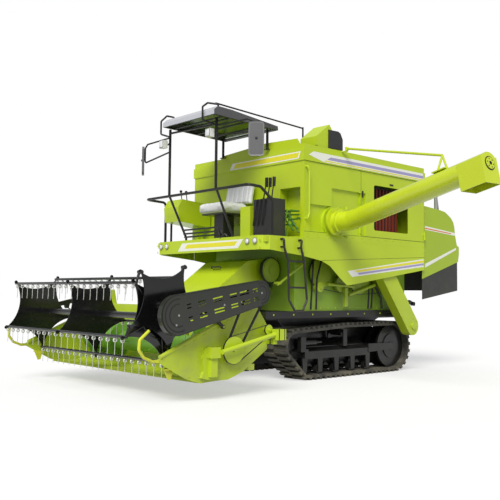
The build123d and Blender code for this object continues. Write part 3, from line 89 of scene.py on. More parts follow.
# what every colour below has in common
PAINT = {"subtype": "COLOR", "size": 3, "min": 0, "max": 1}


class HarvesterColours(bpy.types.PropertyGroup):
    lime: FloatVectorProperty(name="Lime paint", description="Main body paint",
                              default=(0.49, 0.63, 0.015), **PAINT)
    leaf: FloatVectorProperty(name="Green paint", description="Auger and inner parts",
                              default=(0.15, 0.37, 0.03), **PAINT)
    coal: FloatVectorProperty(name="Black paint", description="Frame, wheels and arms",
                              default=(0.010, 0.010, 0.010), **PAINT)
    yolk: FloatVectorProperty(name="Yellow paint", description="Dividers' bows",
                              default=(0.62, 0.66, 0.025), **PAINT)
    silver: FloatVectorProperty(name="Roof skin", description="Canopy's skin",
                                default=(0.12, 0.12, 0.125), **PAINT)
    lilac: FloatVectorProperty(name="Lilac stripe", description="Thin stripe colour",
                               default=(0.36, 0.33, 0.58), **PAINT)
    white: FloatVectorProperty(name="White stripe", description="Stripe's edge colour",
                               default=(0.84, 0.85, 0.80), **PAINT)
    dust: FloatVectorProperty(name="Dust", description="Field dust on low parts",
                              default=(0.30, 0.27, 0.19), **PAINT)


class HarvesterSizes(bpy.types.PropertyGroup):
    bolt_radius: FloatProperty(name="Bolt head", description="Radius of the panel bolts' heads",
                               default=0.009, min=0.004, max=0.02, unit="LENGTH")
    seam_width: FloatProperty(name="Seam width", description="Width of the dark panel seams",
                              default=0.005, min=0.002, max=0.02, unit="LENGTH")
    decal_lift: FloatProperty(name="Stripe thickness", description="How far a stripe stands off its panel",
                              default=0.0008, min=0.0003, max=0.003, unit="LENGTH")
    coil_radius: FloatProperty(name="Tine coil", description="Radius of the tines' spring coils",
                               default=0.023, min=0.01, max=0.03, unit="LENGTH")
    focal: FloatProperty(name="Lens", description="Camera's focal length in millimetres on a 36 mm sensor",
                         default=52.57, min=20, max=200)


def colours():
    return bpy.context.scene.harvester_colours


def sizes():
    return bpy.context.scene.harvester_sizes


def let_go():
    """Leaves edit mode and deselects everything."""
    if bpy.context.object and bpy.context.object.mode != "OBJECT":
        bpy.ops.object.mode_set(mode="OBJECT")
    bpy.ops.object.select_all(action="DESELECT")


def pick(obj):
    """Selects the piece alone and makes it the active one."""
    let_go()
    obj.select_set(True)
    bpy.context.view_layer.objects.active = obj


def settle(obj):
    """Puts the piece's place, turn and size into its mesh."""
    pick(obj)
    bpy.ops.object.transform_apply(location=True, rotation=True, scale=True)
    return obj


def apply_all(obj):
    pick(obj)
    for modifier in list(obj.modifiers):
        bpy.ops.object.modifier_apply(modifier=modifier.name)


def soften(obj, width, segments=2):
    modifier = obj.modifiers.new("edge", "BEVEL")
    modifier.width = width
    modifier.segments = segments
    modifier.limit_method = "ANGLE"
    apply_all(obj)
    return obj


def shade(obj, degrees=40):
    """Smooth shading, with edges sharper than the angle kept."""
    pick(obj)
    bpy.ops.object.shade_smooth_by_angle(angle=math.radians(degrees))
    return obj


def pull(steps):
    """Extrudes the flat form just added by each step, then turns its faces outwards."""
    bpy.ops.object.mode_set(mode="EDIT")
    bpy.ops.mesh.select_all(action="SELECT")
    for step in steps:
        bpy.ops.mesh.extrude_region_move(TRANSFORM_OT_translate={"value": step})
    bpy.ops.mesh.select_all(action="SELECT")
    bpy.ops.mesh.normals_make_consistent(inside=False)
    bpy.ops.object.mode_set(mode="OBJECT")


def sheet_piece(outline, out, thick):
    """A flat plate with the outline's points, thickened along out."""
    let_go()
    bpy.ops.mesh.primitive_circle_add(vertices=len(outline), radius=1, fill_type="NGON", location=(0, 0, 0))
    obj = bpy.context.object
    for vertex, point in zip(obj.data.vertices, outline):
        vertex.co = point
    pull([Vector(out).normalized() * thick])
    return obj


def strip(start, end, y, width, thick=0.012, side=1):
    """A straight strip between two points, each x and z, its flat face looking left or right."""
    start = Vector(start)
    end = Vector(end)
    over = (end - start).orthogonal().normalized() * width / 2
    corners = (start + over, end + over, end - over, start - over)
    return sheet_piece([here(x, y, z) for x, z in corners], (0, side, 0), thick)


def round_bar(start, end, radius, sides=14, bevel=0.0):
    """A round bar between two points of the frame."""
    let_go()
    along = end - start
    turn = along.to_track_quat("Z", "Y").to_euler()
    bpy.ops.mesh.primitive_cylinder_add(vertices=sides, radius=radius, depth=along.length,
                                        location=(start + end) / 2, rotation=turn)
    obj = settle(bpy.context.object)
    if bevel:
        soften(obj, bevel)
    return shade(obj)


def ring(centre, turn, radius, wire, around, sides=8):
    """A round ring of wire, lying flat before it is turned."""
    let_go()
    bpy.ops.mesh.primitive_torus_add(major_radius=radius, minor_radius=wire, major_segments=around,
                                     minor_segments=sides, location=centre, rotation=turn)
    return settle(bpy.context.object)


def disc(sides, radius, depth, height):
    """A flat round disc about the upright axis, its middle at the height."""
    let_go()
    bpy.ops.mesh.primitive_cylinder_add(vertices=sides, radius=radius, depth=depth, location=(0, 0, height))
    return settle(bpy.context.object)


def block(low, high, bevel=0.003):
    """A box between two corners of the frame, its edges bevelled."""
    let_go()
    bpy.ops.mesh.primitive_cube_add(size=1, location=(low + high) / 2)
    obj = bpy.context.object
    obj.scale = high - low
    return soften(settle(obj), bevel)


def gather(parts):
    """Joins the parts into one piece."""
    let_go()
    for part in parts:
        part.select_set(True)
    bpy.context.view_layer.objects.active = parts[0]
    if len(parts) > 1:
        bpy.ops.object.join()
    return bpy.context.object


def repeat(model, places):
    """Copies one modelled piece to each place, a matrix each."""
    copies = []
    for place in places:
        copy = model.copy()
        copy.data = model.data.copy()
        copy.data.transform(place)
        bpy.context.scene.collection.objects.link(copy)
        copies.append(copy)
    bpy.data.objects.remove(model)
    return copies


def dress(parts, name, finish_key, body):
    """Joins the parts into the named piece and gives it its finish, slot and body."""
    obj = gather(parts)
    obj.name = name
    obj.data.name = name
    obj.data.materials.clear()
    obj.data.materials.append(FINISHES[finish_key])
    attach(obj, body)
    return obj


def feed(tree, value, socket):
    """Sets a socket to a plain value or a colour, or links another node's output to it."""
    if isinstance(value, (int, float)):
        socket.default_value = value
    elif isinstance(value, tuple):
        socket.default_value = (*value[:3], 1.0)
    else:
        tree.links.new(value, socket)


def fill(tree, node, **inputs):
    """Feeds the node's inputs, each named with underscores for its spaces."""
    for label, value in inputs.items():
        feed(tree, value, node.inputs[label.replace("_", " ")])
    return node


def math_node(tree, operation, first, second=None, clamp=False):
    node = tree.nodes.new("ShaderNodeMath")
    node.operation = operation
    node.use_clamp = clamp
    feed(tree, first, node.inputs[0])
    if second is not None:
        feed(tree, second, node.inputs[1])
    return node.outputs[0]


def fold(tree, operation, *values):
    """All the values taken together by one operation."""
    whole = values[0]
    for value in values[1:]:
        whole = math_node(tree, operation, whole, value)
    return whole


def noise_node(tree, scale, detail=3.0, rough=0.55):
    place = tree.nodes.new("ShaderNodeTexCoord").outputs["Object"]
    noise = tree.nodes.new("ShaderNodeTexNoise")
    return fill(tree, noise, Vector=place, Scale=scale, Detail=detail, Roughness=rough).outputs["Fac"]


def span(tree, value, low, high, out_low=0.0, out_high=1.0):
    """Brings the values between low and high to the range between the other two."""
    node = tree.nodes.new("ShaderNodeMapRange")
    return fill(tree, node, Value=value, From_Min=low, From_Max=high, To_Min=out_low,
                To_Max=out_high).outputs["Result"]


def mix_colour(tree, mask, first, second):
    node = tree.nodes.new("ShaderNodeMix")
    node.data_type = "RGBA"
    for index, value in ((0, mask), (6, first), (7, second)):
        feed(tree, value, node.inputs[index])
    return node.outputs[2]


def axes(tree, source="ShaderNodeTexCoord", output="Object"):
    """The x, y and z of the place on the piece, or of another node's vector."""
    vector = tree.nodes.new(source).outputs[output]
    return fill(tree, tree.nodes.new("ShaderNodeSeparateXYZ"), Vector=vector).outputs


def new_group(name, takes, gives, kind="NodeSocketFloat"):
    """A shader group with a default for each input and one output, and its two end nodes."""
    group = bpy.data.node_groups.new(name, "ShaderNodeTree")
    for label, default in takes.items():
        taken = "NodeSocketColor" if isinstance(default, tuple) else "NodeSocketFloat"
        socket = group.interface.new_socket(name=label, in_out="INPUT", socket_type=taken)
        socket.default_value = default
    group.interface.new_socket(name=gives, in_out="OUTPUT", socket_type=kind)
    return group, group.nodes.new("NodeGroupInput"), group.nodes.new("NodeGroupOutput")


def dust_group():
    """Dust that thins out upwards and lies in patches."""
    group, start, end = new_group("field dust", {"Top": 1.5, "Amount": 0.5, "Patch scale": 6.0}, "Mask")
    height = span(group, axes(group)["Z"], start.outputs["Top"], 0.0)
    patches = span(group, noise_node(group, start.outputs["Patch scale"], 5.0, 0.6), 0.35, 0.75)
    speckle = span(group, noise_node(group, 60.0, 2.0, 0.6), 0.3, 0.8, 0.5, 1.0)
    mask = math_node(group, "MULTIPLY", fold(group, "MULTIPLY", height, patches, speckle),
                     start.outputs["Amount"], clamp=True)
    fill(group, end, Mask=mask)
    return group


def wear_group():
    """Fine rubbed specks."""
    group, start, end = new_group("rubbed specks", {"Scale": 30.0, "Amount": 0.1}, "Mask")
    fine = noise_node(group, start.outputs["Scale"], 6.0, 0.7)
    broad = noise_node(group, 2.3, 2.0, 0.5)
    both = math_node(group, "ADD", math_node(group, "MULTIPLY", fine, 0.8),
                     math_node(group, "MULTIPLY", broad, 0.3))
    level = math_node(group, "SUBTRACT", 0.86, start.outputs["Amount"])
    fill(group, end, Mask=span(group, both, level, math_node(group, "ADD", level, 0.05)))
    return group


def drift_group():
    """Slow change of a colour's strength and hue over a panel."""
    group, start, end = new_group("colour drift", {"Colour": (0.5, 0.5, 0.5, 1), "Amount": 0.1, "Scale": 1.6},
                                  "Colour", "NodeSocketColor")
    wave = math_node(group, "SUBTRACT", noise_node(group, start.outputs["Scale"], 3.0, 0.5), 0.5)
    change = math_node(group, "MULTIPLY", wave, start.outputs["Amount"])
    value = math_node(group, "ADD", math_node(group, "MULTIPLY", change, 3.0), 1.0)
    hue = math_node(group, "ADD", math_node(group, "MULTIPLY", change, 0.12), 0.5)
    tone = fill(group, group.nodes.new("ShaderNodeHueSaturation"), Color=start.outputs["Colour"], Value=value,
                Hue=hue)
    fill(group, end, Colour=tone.outputs["Color"])
    return group


def ripple_group():
    """Rolled sheet: long soft waves and a fine orange peel."""
    group, start, end = new_group("sheet ripple", {"Wave": 1.0, "Peel": 0.3, "Peel scale": 220.0}, "Height")
    wave = math_node(group, "MULTIPLY", noise_node(group, 2.2, 2.0, 0.4), start.outputs["Wave"])
    peel = fold(group, "MULTIPLY", noise_node(group, start.outputs["Peel scale"], 2.0, 0.5),
                start.outputs["Peel"], 0.03)
    fill(group, end, Height=math_node(group, "ADD", wave, peel))
    return group


GROUPS = {"dust": dust_group(), "wear": wear_group(), "drift": drift_group(), "ripple": ripple_group()}


def use_group(tree, key, **values):
    """Places a group in a material with its own values."""
    node = tree.nodes.new("ShaderNodeGroup")
    node.node_tree = GROUPS[key]
    return fill(tree, node, **values).outputs[0]


def finish(name, colour, roughness=0.4, metallic=0.0, coat=0.0, dust=0.35, dust_top=1.6, drift=0.06,
           wave=0.5, peel=0.3, peel_scale=220.0, wear=0.0, wear_colour=(0.2, 0.2, 0.2), bump=0.15,
           shine=0.5, second=()):
    """A painted, rubber or metal finish with drift, specks and low dust. second is (colour, mask maker) pairs."""
    colour = tuple(colour)
    material = bpy.data.materials.new(name)
    material.use_nodes = True
    material.diffuse_color = (*colour, 1)
    tree = material.node_tree
    base = use_group(tree, "drift", Colour=colour, Amount=drift)
    for other, mask_maker in second:
        base = mix_colour(tree, mask_maker(tree), base, tuple(other))
    if wear:
        base = mix_colour(tree, use_group(tree, "wear", Scale=34.0, Amount=wear), base, wear_colour)
    mask = use_group(tree, "dust", Top=dust_top, Amount=dust)
    base = mix_colour(tree, mask, base, tuple(colours().dust))
    # slow patches and dust make the surface duller
    uneven = span(tree, noise_node(tree, 9.0), 0.3, 0.7, -0.05, 0.07)
    rough = math_node(tree, "ADD", math_node(tree, "MULTIPLY", mask, 0.4), uneven)
    rough = math_node(tree, "ADD", rough, roughness, clamp=True)
    height = use_group(tree, "ripple", Wave=wave, Peel=peel, Peel_scale=peel_scale)
    relief = fill(tree, tree.nodes.new("ShaderNodeBump"), Strength=bump, Distance=0.02, Height=height)
    fill(tree, tree.nodes["Principled BSDF"], Base_Color=base, Metallic=metallic, Roughness=rough,
         Specular_IOR_Level=shine, Coat_Weight=coat, Coat_Roughness=0.12, Normal=relief.outputs["Normal"])
    return material


def in_boxes(*boxes):
    """A mask that is 1 inside any of the boxes, each two corners from the machine's centre plane."""
    def build(tree):
        place = axes(tree)
        insides = []
        for low, high in boxes:
            tests = []
            for part, least, most in zip(place, here(*low), here(*high)):
                tests.append(math_node(tree, "GREATER_THAN", part, least))
                tests.append(math_node(tree, "LESS_THAN", part, most))
            insides.append(fold(tree, "MULTIPLY", *tests))
        return fold(tree, "MAXIMUM", *insides)
    return build


def off_discs(*discs):
    """A mask that is 1 outside all the discs, each x, z and radius about a shaft across the machine."""
    def build(tree):
        place = axes(tree)
        gaps = []
        for x, z, radius in discs:
            centre = here(x, 0, z)
            across = math_node(tree, "POWER", math_node(tree, "SUBTRACT", place[0], centre.x), 2.0)
            upward = math_node(tree, "POWER", math_node(tree, "SUBTRACT", place[2], centre.z), 2.0)
            reach = math_node(tree, "SQRT", math_node(tree, "ADD", across, upward))
            gaps.append(math_node(tree, "SUBTRACT", reach, radius))
        return math_node(tree, "GREATER_THAN", fold(tree, "MINIMUM", *gaps), 0.0)
    return build


def both_of(first, second):
    """A mask of what lies in both masks."""
    def build(tree):
        return math_node(tree, "MULTIPLY", first(tree), second(tree))
    return build


def facing(axis, edge, below=False):
    """A mask of the faces that look along an axis by more than edge, or by less."""
    def build(tree):
        normal = axes(tree, "ShaderNodeNewGeometry", "True Normal")
        return math_node(tree, "LESS_THAN" if below else "GREATER_THAN", normal[axis], edge)
    return build


# where one node shows a second colour
CONSOLE_BLACKS = in_boxes(((1.735, 0.63, 1.9), (1.995, 1.01, 2.49)), ((1.755, -0.23, 1.9), (2.21, 0.25, 2.329)))
ELEVATOR_COVER = in_boxes(((0.73, 0.79, 3.25), (1.041, 1.17, 3.526)))
GRAB_RAIL = in_boxes(((1.50, 1.18, 2.19), (1.56, 1.26, 2.96)))
SIDE_BELTS = off_discs((0.93, 1.50, 0.211), (0.48, 1.35, 0.121), (0.06, 1.44, 0.231), (-0.42, 1.36, 0.131),
                       (*FEEDER_PULLEY, 0.30))
FEEDER_BELT = both_of(in_boxes(((1.30, 0.53, 1.20), (1.90, 0.60, 1.85))), off_discs((*FEEDER_PULLEY, 0.166)))
HEADER_BELT = both_of(in_boxes(((2.50, 1.620, 0.30), (3.45, 1.642, 0.90))),
                      off_discs((3.197, 0.553, 0.136), (2.65, 0.77, 0.042)))
FEEDER_HANDLE = in_boxes(((2.07, -0.11, 1.5456), (2.15, 0.13, 1.60)))
RADIATOR_FINS = in_boxes(((-0.81, 0.961, 2.14), (0.01, 0.99, 2.84)))
LEVER_LINKAGE = in_boxes(((1.40, 0.85, 1.95), (1.72, 1.10, 2.40)))

FINISHES = {}


def make_finishes():
    tint = colours()
    lime = tint.lime
    FINISHES.update(
        lime=finish("lime paint", lime, 0.33, coat=0.25, dust=0.25, dust_top=1.9),
        # the unloading tube's lime is painted lighter and yellower than the body's: painted light on the tube in
        # full sun
        bright=finish("lime paint lightened as painted light, unloading tube", (0.56, 0.67, 0.016), 0.26, coat=0.5, dust=0.1),
        # the hood's lime is painted darker than the body's: painted shade on the hood's side
        hood=finish("lime paint darkened as painted shade, hood", (0.37, 0.51, 0.018), 0.34, coat=0.2, dust=0.25, dust_top=1.9),
        lime_low=finish("lime paint, dusty", lime, 0.38, coat=0.15, dust=0.6, dust_top=2.2, wear=0.04,
                        wear_colour=(0.25, 0.27, 0.12)),
        # the thresher housing's green is painted darker, and its dark green specks darken it further: painted
        # shade under the side shields
        housing=finish("green housing paint darkened as painted shade", (0.25, 0.42, 0.022), 0.42, dust=0.55, dust_top=1.7, drift=0.14,
                       wear=0.06, wear_colour=(0.10, 0.14, 0.03)),
        leaf=finish("green paint", tint.leaf, 0.4, dust=0.4),
        moss=finish("dark green paint", (0.045, 0.15, 0.015), 0.4, dust=0.0),
        coal=finish("black paint", tint.coal, 0.34, coat=0.15, dust=0.06, dust_top=0.9, wear=0.03,
                    wear_colour=(0.07, 0.07, 0.07), shine=0.35),
        gloss=finish("glossy black paint", (0.0045, 0.0045, 0.005), 0.22, coat=0.5, dust=0.03, dust_top=0.8,
                     wear=0.02, wear_colour=(0.12, 0.12, 0.13), shine=0.4),
        guard=finish("guard paint", (0.022, 0.024, 0.018), 0.34, coat=0.25, dust=0.05, dust_top=1.2, shine=0.4),
        knife=finish("lime paint, worn knife", (0.44, 0.56, 0.03), 0.36, dust=0.3, dust_top=1.0, wear=0.2,
                     wear_colour=(0.40, 0.41, 0.36)),
        yolk=finish("yellow paint", tint.yolk, 0.36, coat=0.2, dust=0.3, dust_top=1.2),
        console=finish("lime paint, black housings", lime, 0.36, coat=0.2, dust=0.25,
                       second=((BLACK, CONSOLE_BLACKS),)),
        head=finish("lime paint, black cover", lime, 0.36, coat=0.2, dust=0.25,
                    second=((BLACK, ELEVATOR_COVER),)),
        rungs=finish("black steps, lime grab rail", tint.coal, 0.42, dust=0.3, second=((lime, GRAB_RAIL),)),
        # the pulleys' lime is painted darker as painted shade under the side shields; the black outside the discs
        # is the belts' own colour
        pulleys=finish("lime pulleys darkened as painted shade, black belts", (0.30, 0.42, 0.02), 0.42, dust=0.5,
                       second=((BELT_BLACK, SIDE_BELTS), (BELT_BLACK, FEEDER_BELT))),
        links=finish("lime links", (0.36, 0.49, 0.02), 0.42, dust=0.5),
        drive=finish("lime drive, black belt", lime, 0.38, coat=0.15, dust=0.35, dust_top=1.2,
                     second=(((0.012, 0.012, 0.012), HEADER_BELT),)),
        feeder=finish("lime paint, black handle", lime, 0.36, coat=0.2, dust=0.45, dust_top=1.6,
                      second=((BLACK, FEEDER_HANDLE),)),
        # on the canopy, faces looking down are painted dark green as painted shade, and faces looking forward are
        # painted pale as painted light
        silver=finish("roof skin", tint.silver, 0.3, metallic=0.35, dust=0.0,
                      second=(((0.055, 0.11, 0.02), facing(2, -0.3, below=True)),
                              ((0.66, 0.67, 0.72), facing(0, 0.6)))),
        core=finish("black radiator, rusty fins", (0.012, 0.012, 0.012), 0.6, dust=0.1,
                    second=(((0.22, 0.03, 0.012), RADIATOR_FINS),)),
        rubber=finish("track rubber", (0.034, 0.034, 0.032), 0.78, dust=0.9, dust_top=1.1, peel=3.0,
                      peel_scale=90.0, bump=0.5, wave=0.2, drift=0.12),
        curtain=finish("curtain rubber", (0.036, 0.037, 0.034), 0.66, dust=0.35, peel=2.0, peel_scale=140.0,
                       bump=0.4, wave=2.0, drift=0.15),
        steel=finish("worn steel", (0.42, 0.42, 0.41), 0.38, metallic=0.85, dust=0.4, wear=0.12,
                     wear_colour=(0.16, 0.11, 0.08), peel=1.0),
        wire=finish("tine wire", (0.72, 0.72, 0.70), 0.34, metallic=0.7, dust=0.1, dust_top=0.8),
        cast=finish("cast housing", (0.055, 0.058, 0.055), 0.62, metallic=0.2, dust=0.7, peel=3.0,
                    peel_scale=120.0, bump=0.5),
        plastic=finish("black plastic", (0.02, 0.02, 0.022), 0.5, dust=0.1, peel=2.0, peel_scale=500.0),
        levers=finish("black levers, lime linkage", (0.02, 0.02, 0.022), 0.5, dust=0.1,
                      second=(((0.16, 0.36, 0.02), LEVER_LINKAGE),)),
        grey=finish("grey plastic", (0.105, 0.105, 0.11), 0.45, dust=0.0, peel=2.0, peel_scale=500.0),
        white=finish("white stripe", tint.white, 0.35, dust=0.1, drift=0.02),
        lilac=finish("lilac stripe", tint.lilac, 0.35, dust=0.1, drift=0.03),
        yellow=finish("yellow stripe", (0.78, 0.72, 0.03), 0.35, dust=0.1, drift=0.03),
        orange=finish("orange stripe", (0.72, 0.20, 0.02), 0.35, dust=0.1, drift=0.03),
        seam=finish("seam shadow", (0.06, 0.085, 0.008), 0.7, dust=0.0, drift=0.05),
        # black for the belts and the tube's bearing; on the chain guard the same black is painted shade in the
        # grooves
        ink=finish("belt black and painted groove shade", (0.004, 0.004, 0.004), 0.6, dust=0.0),
        rim=finish("mirror rim", (0.18, 0.18, 0.185), 0.4, dust=0.0),
        lens=finish("lamp glass", (0.80, 0.82, 0.84), 0.08, coat=1.0, dust=0.0, drift=0.03),
        cover=finish("seat cover", (0.68, 0.69, 0.70), 0.36, coat=0.15, dust=0.0, peel=2.5, peel_scale=260.0,
                     wave=1.5, drift=0.08, bump=0.3),
    )


CAD_FINISH = {
    "lime": ("side_shields", "grain_tank", "engine_bay", "platform", "radiator_door"),
    # the tube and its stay take the lime painted lighter as painted light
    "bright": ("unloader_tube", "unloader_stay"),
    # the hood takes the lime painted darker as painted shade
    "hood": ("straw_hood",),
    "lime_low": ("header_body",),
    # the thresher housing takes the green painted darker as painted shade
    "housing": ("thresher_housing",),
    "console": ("consoles",),
    "head": ("grain_elevator",),
    "rungs": ("ladder",),
    # the pulleys take the lime painted darker as painted shade
    "pulleys": ("drive_pulleys",),
    "drive": ("header_drive",),
    "feeder": ("feeder_house",),
    "core": ("radiator",),
    "leaf": ("header_auger",),
    "coal": ("track_wheels", "track_frames", "chassis_frame", "front_rails", "canopy_frame", "reel_arms",
             "lift_barrels", "reel_barrels"),
    "gloss": ("reel",),
    "guard": ("reel_guard",),
    "knife": ("cutter_bar",),
    "yolk": ("crop_dividers",),
    # the canopy takes painted shade below and painted light in front
    "silver": ("canopy",),
    "rubber": ("track_left", "track_right"),
    "curtain": ("outlet_curtain",),
    "steel": ("lift_rods", "reel_rods", "exhaust_pipe"),
    "cast": ("transmission", "engine_block"),
    "white": ("lamps",),
    "levers": ("control_levers",),
    "grey": ("mirrors",),
}


class HARVESTER_OT_finishes(bpy.types.Operator):
    """Paint, rubber and metal on the frame's own pieces"""
    bl_idname = "harvester.finishes"
    bl_label = "Finishes"

    def execute(self, context):
        make_finishes()
        for key, names in CAD_FINISH.items():
            for name in names:
                for slot in NODES[name].material_slots:
                    slot.material = FINISHES[key]
        return {"FINISHED"}


def seen_by(tree, first, second):
    """1 for the two kinds of ray, and 0 for the light that falls on the machine."""
    path = tree.nodes.new("ShaderNodeLightPath")
    return math_node(tree, "MAXIMUM", path.outputs[first], path.outputs[second])


def set_camera(scene):
    camera = bpy.data.cameras.new("photo camera")
    camera.lens = sizes().focal
    camera.sensor_width = 36.0
    camera.clip_end = 400.0
    eye = bpy.data.objects.new("photo camera", camera)
    scene.collection.objects.link(eye)
    right = Vector((-0.73595803, 0.67695735, 0.00972211))
    up = Vector((0.04745978, 0.03726086, 0.99817794))
    turn = Matrix((right, up, right.cross(up))).transposed().to_4x4()
    eye.matrix_world = Matrix.Translation(here(8.74166561, 7.92328443, 1.20000983)) @ turn
    scene.camera = eye


def lay_floor():
    """A pale floor that keeps the shadow and glows for the camera alone."""
    let_go()
    bpy.ops.mesh.primitive_plane_add(size=300, location=(0, 0, 0))
    floor = bpy.context.object
    floor.name = "studio_floor"
    bpy.ops.object.mode_set(mode="EDIT")
    bpy.ops.mesh.subdivide(number_cuts=3)
    bpy.ops.object.mode_set(mode="OBJECT")
    material = bpy.data.materials.new("pale floor")
    material.use_nodes = True
    tree = material.node_tree
    shader = fill(tree, tree.nodes["Principled BSDF"], Base_Color=(0.50, 0.50, 0.50), Roughness=0.9,
                  Specular_IOR_Level=0.0)
    strength = math_node(tree, "MULTIPLY", seen_by(tree, "Is Camera Ray", "Is Glossy Ray"), 0.47)
    glow = fill(tree, tree.nodes.new("ShaderNodeEmission"), Color=(1, 1, 1), Strength=strength)
    both = tree.nodes.new("ShaderNodeAddShader")
    tree.links.new(shader.outputs[0], both.inputs[0])
    tree.links.new(glow.outputs[0], both.inputs[1])
    fill(tree, tree.nodes["Material Output"], Surface=both.outputs[0])
    floor.data.materials.append(material)


def light_sky(scene):
    """A soft sky, seen as plain white behind the machine."""
    world = bpy.data.worlds.new("studio")
    scene.world = world
    world.use_nodes = True
    tree = world.node_tree
    sky = fill(tree, tree.nodes["Background"], Color=(0.95, 0.98, 1.0), Strength=0.46)
    plain = fill(tree, tree.nodes.new("ShaderNodeBackground"), Color=(1, 1, 1), Strength=1.0)
    choice = tree.nodes.new("ShaderNodeMixShader")
    tree.links.new(seen_by(tree, "Is Camera Ray", "Is Transmission Ray"), choice.inputs[0])
    tree.links.new(sky.outputs[0], choice.inputs[1])
    tree.links.new(plain.outputs[0], choice.inputs[2])
    fill(tree, tree.nodes["World Output"], Surface=choice.outputs[0])


def hang_sun(scene):
    lamp = bpy.data.lights.new("soft sun", "SUN")
    lamp.energy = 3.1
    lamp.angle = math.radians(30)
    lamp.color = (1.0, 0.98, 0.94)
    sun = bpy.data.objects.new("soft sun", lamp)
    scene.collection.objects.link(sun)
    sun.rotation_euler = Vector((0.60, 0.42, 0.68)).to_track_quat("Z", "Y").to_euler()


class HARVESTER_OT_stage(bpy.types.Operator):
    """Camera, floor and light"""
    bl_idname = "harvester.stage"
    bl_label = "Stage"

    def execute(self, context):
        context.scene.view_settings.view_transform = "Standard"
        set_camera(context.scene)
        lay_floor()
        light_sky(context.scene)
        hang_sun(context.scene)
        return {"FINISHED"}


# each a name, a colour, the face, the layer on it and the outline in y and z
FRONT_STRIPES = (
    ("belt_front", "white", TANK_FRONT, 0, ((-0.33, 3.045), (1.10, 3.045), (1.14, 3.142), (-0.27, 3.142))),
    ("belt_front", "yellow", TANK_FRONT, 1, ((-0.24, 3.060), (1.085, 3.060), (1.112, 3.127), (-0.20, 3.127))),
    ("fascia", "white", FASCIA, 0, ((-0.62, 1.800), (0.70, 1.800), (0.80, 1.915), (-0.52, 1.915))),
    ("fascia", "yellow", FASCIA, 1, ((-0.46, 1.835), (0.63, 1.835), (0.69, 1.893), (-0.40, 1.893))),
)
# the same on both sides, the outline in x and z
SIDE_STRIPES = (
    ("belt", "white", TANK_SIDE, 0, ((1.50, 3.10), (1.40, 3.155), (-1.20, 3.155), (-1.20, 3.035), (1.20, 3.035))),
    ("belt", "lilac", TANK_SIDE, 1, ((1.05, 3.118), (-1.20, 3.118), (-1.20, 3.075), (1.12, 3.075))),
    ("belt", "yellow", TANK_SIDE, 1, ((1.16, 3.062), (-1.20, 3.062), (-1.20, 3.046), (1.18, 3.046))),
    ("shield", "white", BODY_SIDE, 0, ((0.56, 1.452), (-1.235, 1.655), (-1.235, 1.782), (0.66, 1.535))),
    ("shield", "lilac", BODY_SIDE, 1, ((0.40, 1.488), (-1.235, 1.682), (-1.235, 1.712), (0.44, 1.512))),
    ("shield", "yellow", BODY_SIDE, 1, ((0.44, 1.522), (-1.235, 1.722), (-1.235, 1.760), (0.52, 1.541))),
    ("hood", "white", HOOD_SIDE, 0, ((-1.33, 2.262), (-2.215, 2.215), (-2.222, 2.262), (-1.33, 2.322))),
    ("hood", "orange", HOOD_SIDE, 1, ((-1.33, 2.276), (-2.10, 2.236), (-2.10, 2.252), (-1.33, 2.296))),
    ("hood_low", "white", HOOD_SIDE, 0, ((-1.33, 1.645), (-2.25, 1.975), (-2.25, 2.012), (-1.33, 1.705))),
)


class HARVESTER_OT_stripes(bpy.types.Operator):
    """Plain coloured stripes on the body, fascia and hood"""
    bl_idname = "harvester.stripes"
    bl_label = "Stripes"

    def execute(self, context):
        thick = sizes().decal_lift
        gap = 0.0002
        for name, colour, face, layer, outline in FRONT_STRIPES:
            x = face + gap + layer * thick
            stripe = sheet_piece([here(x, y, z) for y, z in outline], (1, 0, 0), thick)
            dress([stripe], f"{name}_{colour}", colour, "machine")
        for side, tag in ((1, "left"), (-1, "right")):
            for name, colour, face, layer, outline in SIDE_STRIPES:
                y = side * (face + gap + layer * thick)
                stripe = sheet_piece([here(x, y, z) for x, z in outline], (0, side, 0), thick)
                dress([stripe], f"{name}_{tag}_{colour}", colour, "machine")
        return {"FINISHED"}


# the seams' ends on both sides, each x and z
SEAMS = (
    ((-1.245, 2.0505), (1.572, 2.0505)),
    ((0.360, 2.055), (0.360, 3.016)),
    ((-1.245, 3.016), (1.572, 3.016)),
    ((-1.24, 1.805), (1.207, 1.665)),
)


class HARVESTER_OT_seams(bpy.types.Operator):
    """Dark seams between the body's panels"""
    bl_idname = "harvester.seams"
    bl_label = "Seams"

    def execute(self, context):
        seams = [strip(start, end, side * (BODY_SIDE + 0.0002), sizes().seam_width, 0.0004, side)
                 for side in (1, -1) for start, end in SEAMS]
        dress(seams, "panel_seams", "seam", "machine")
        return {"FINISHED"}


class HARVESTER_OT_guard_grooves(bpy.types.Operator):
    """Grooves round both ends of the chain guard, drawn as thin black strips: painted shade in the grooves"""
    bl_idname = "harvester.guard_grooves"
    bl_label = "Guard grooves"

    def execute(self, context):
        grooves = []
        half = 0.007
        steps = 20
        slope = math.atan2(-0.246, 1.202)
        for cx, cz, radius, away in ((4.070, 0.962, 0.218, slope), (2.868, 1.208, 0.148, slope + math.pi)):
            sweep = [away + math.radians(-105 + 210 * step / steps) for step in range(steps + 1)]
            for share in (0.80, 0.55):
                points = [(radius * share + half, angle) for angle in sweep]
                points += [(radius * share - half, angle) for angle in reversed(sweep)]
                grooves.append(sheet_piece([here(cx + reach * math.cos(angle), GUARD_SIDE + 0.0002,
                                                 cz + reach * math.sin(angle)) for reach, angle in points],
                                           (0, 1, 0), 0.0006))
        # the black strips stand in for the shade inside the guard's grooves
        dress(grooves, "guard_grooves", "ink", "reel_lift")
        return {"FINISHED"}


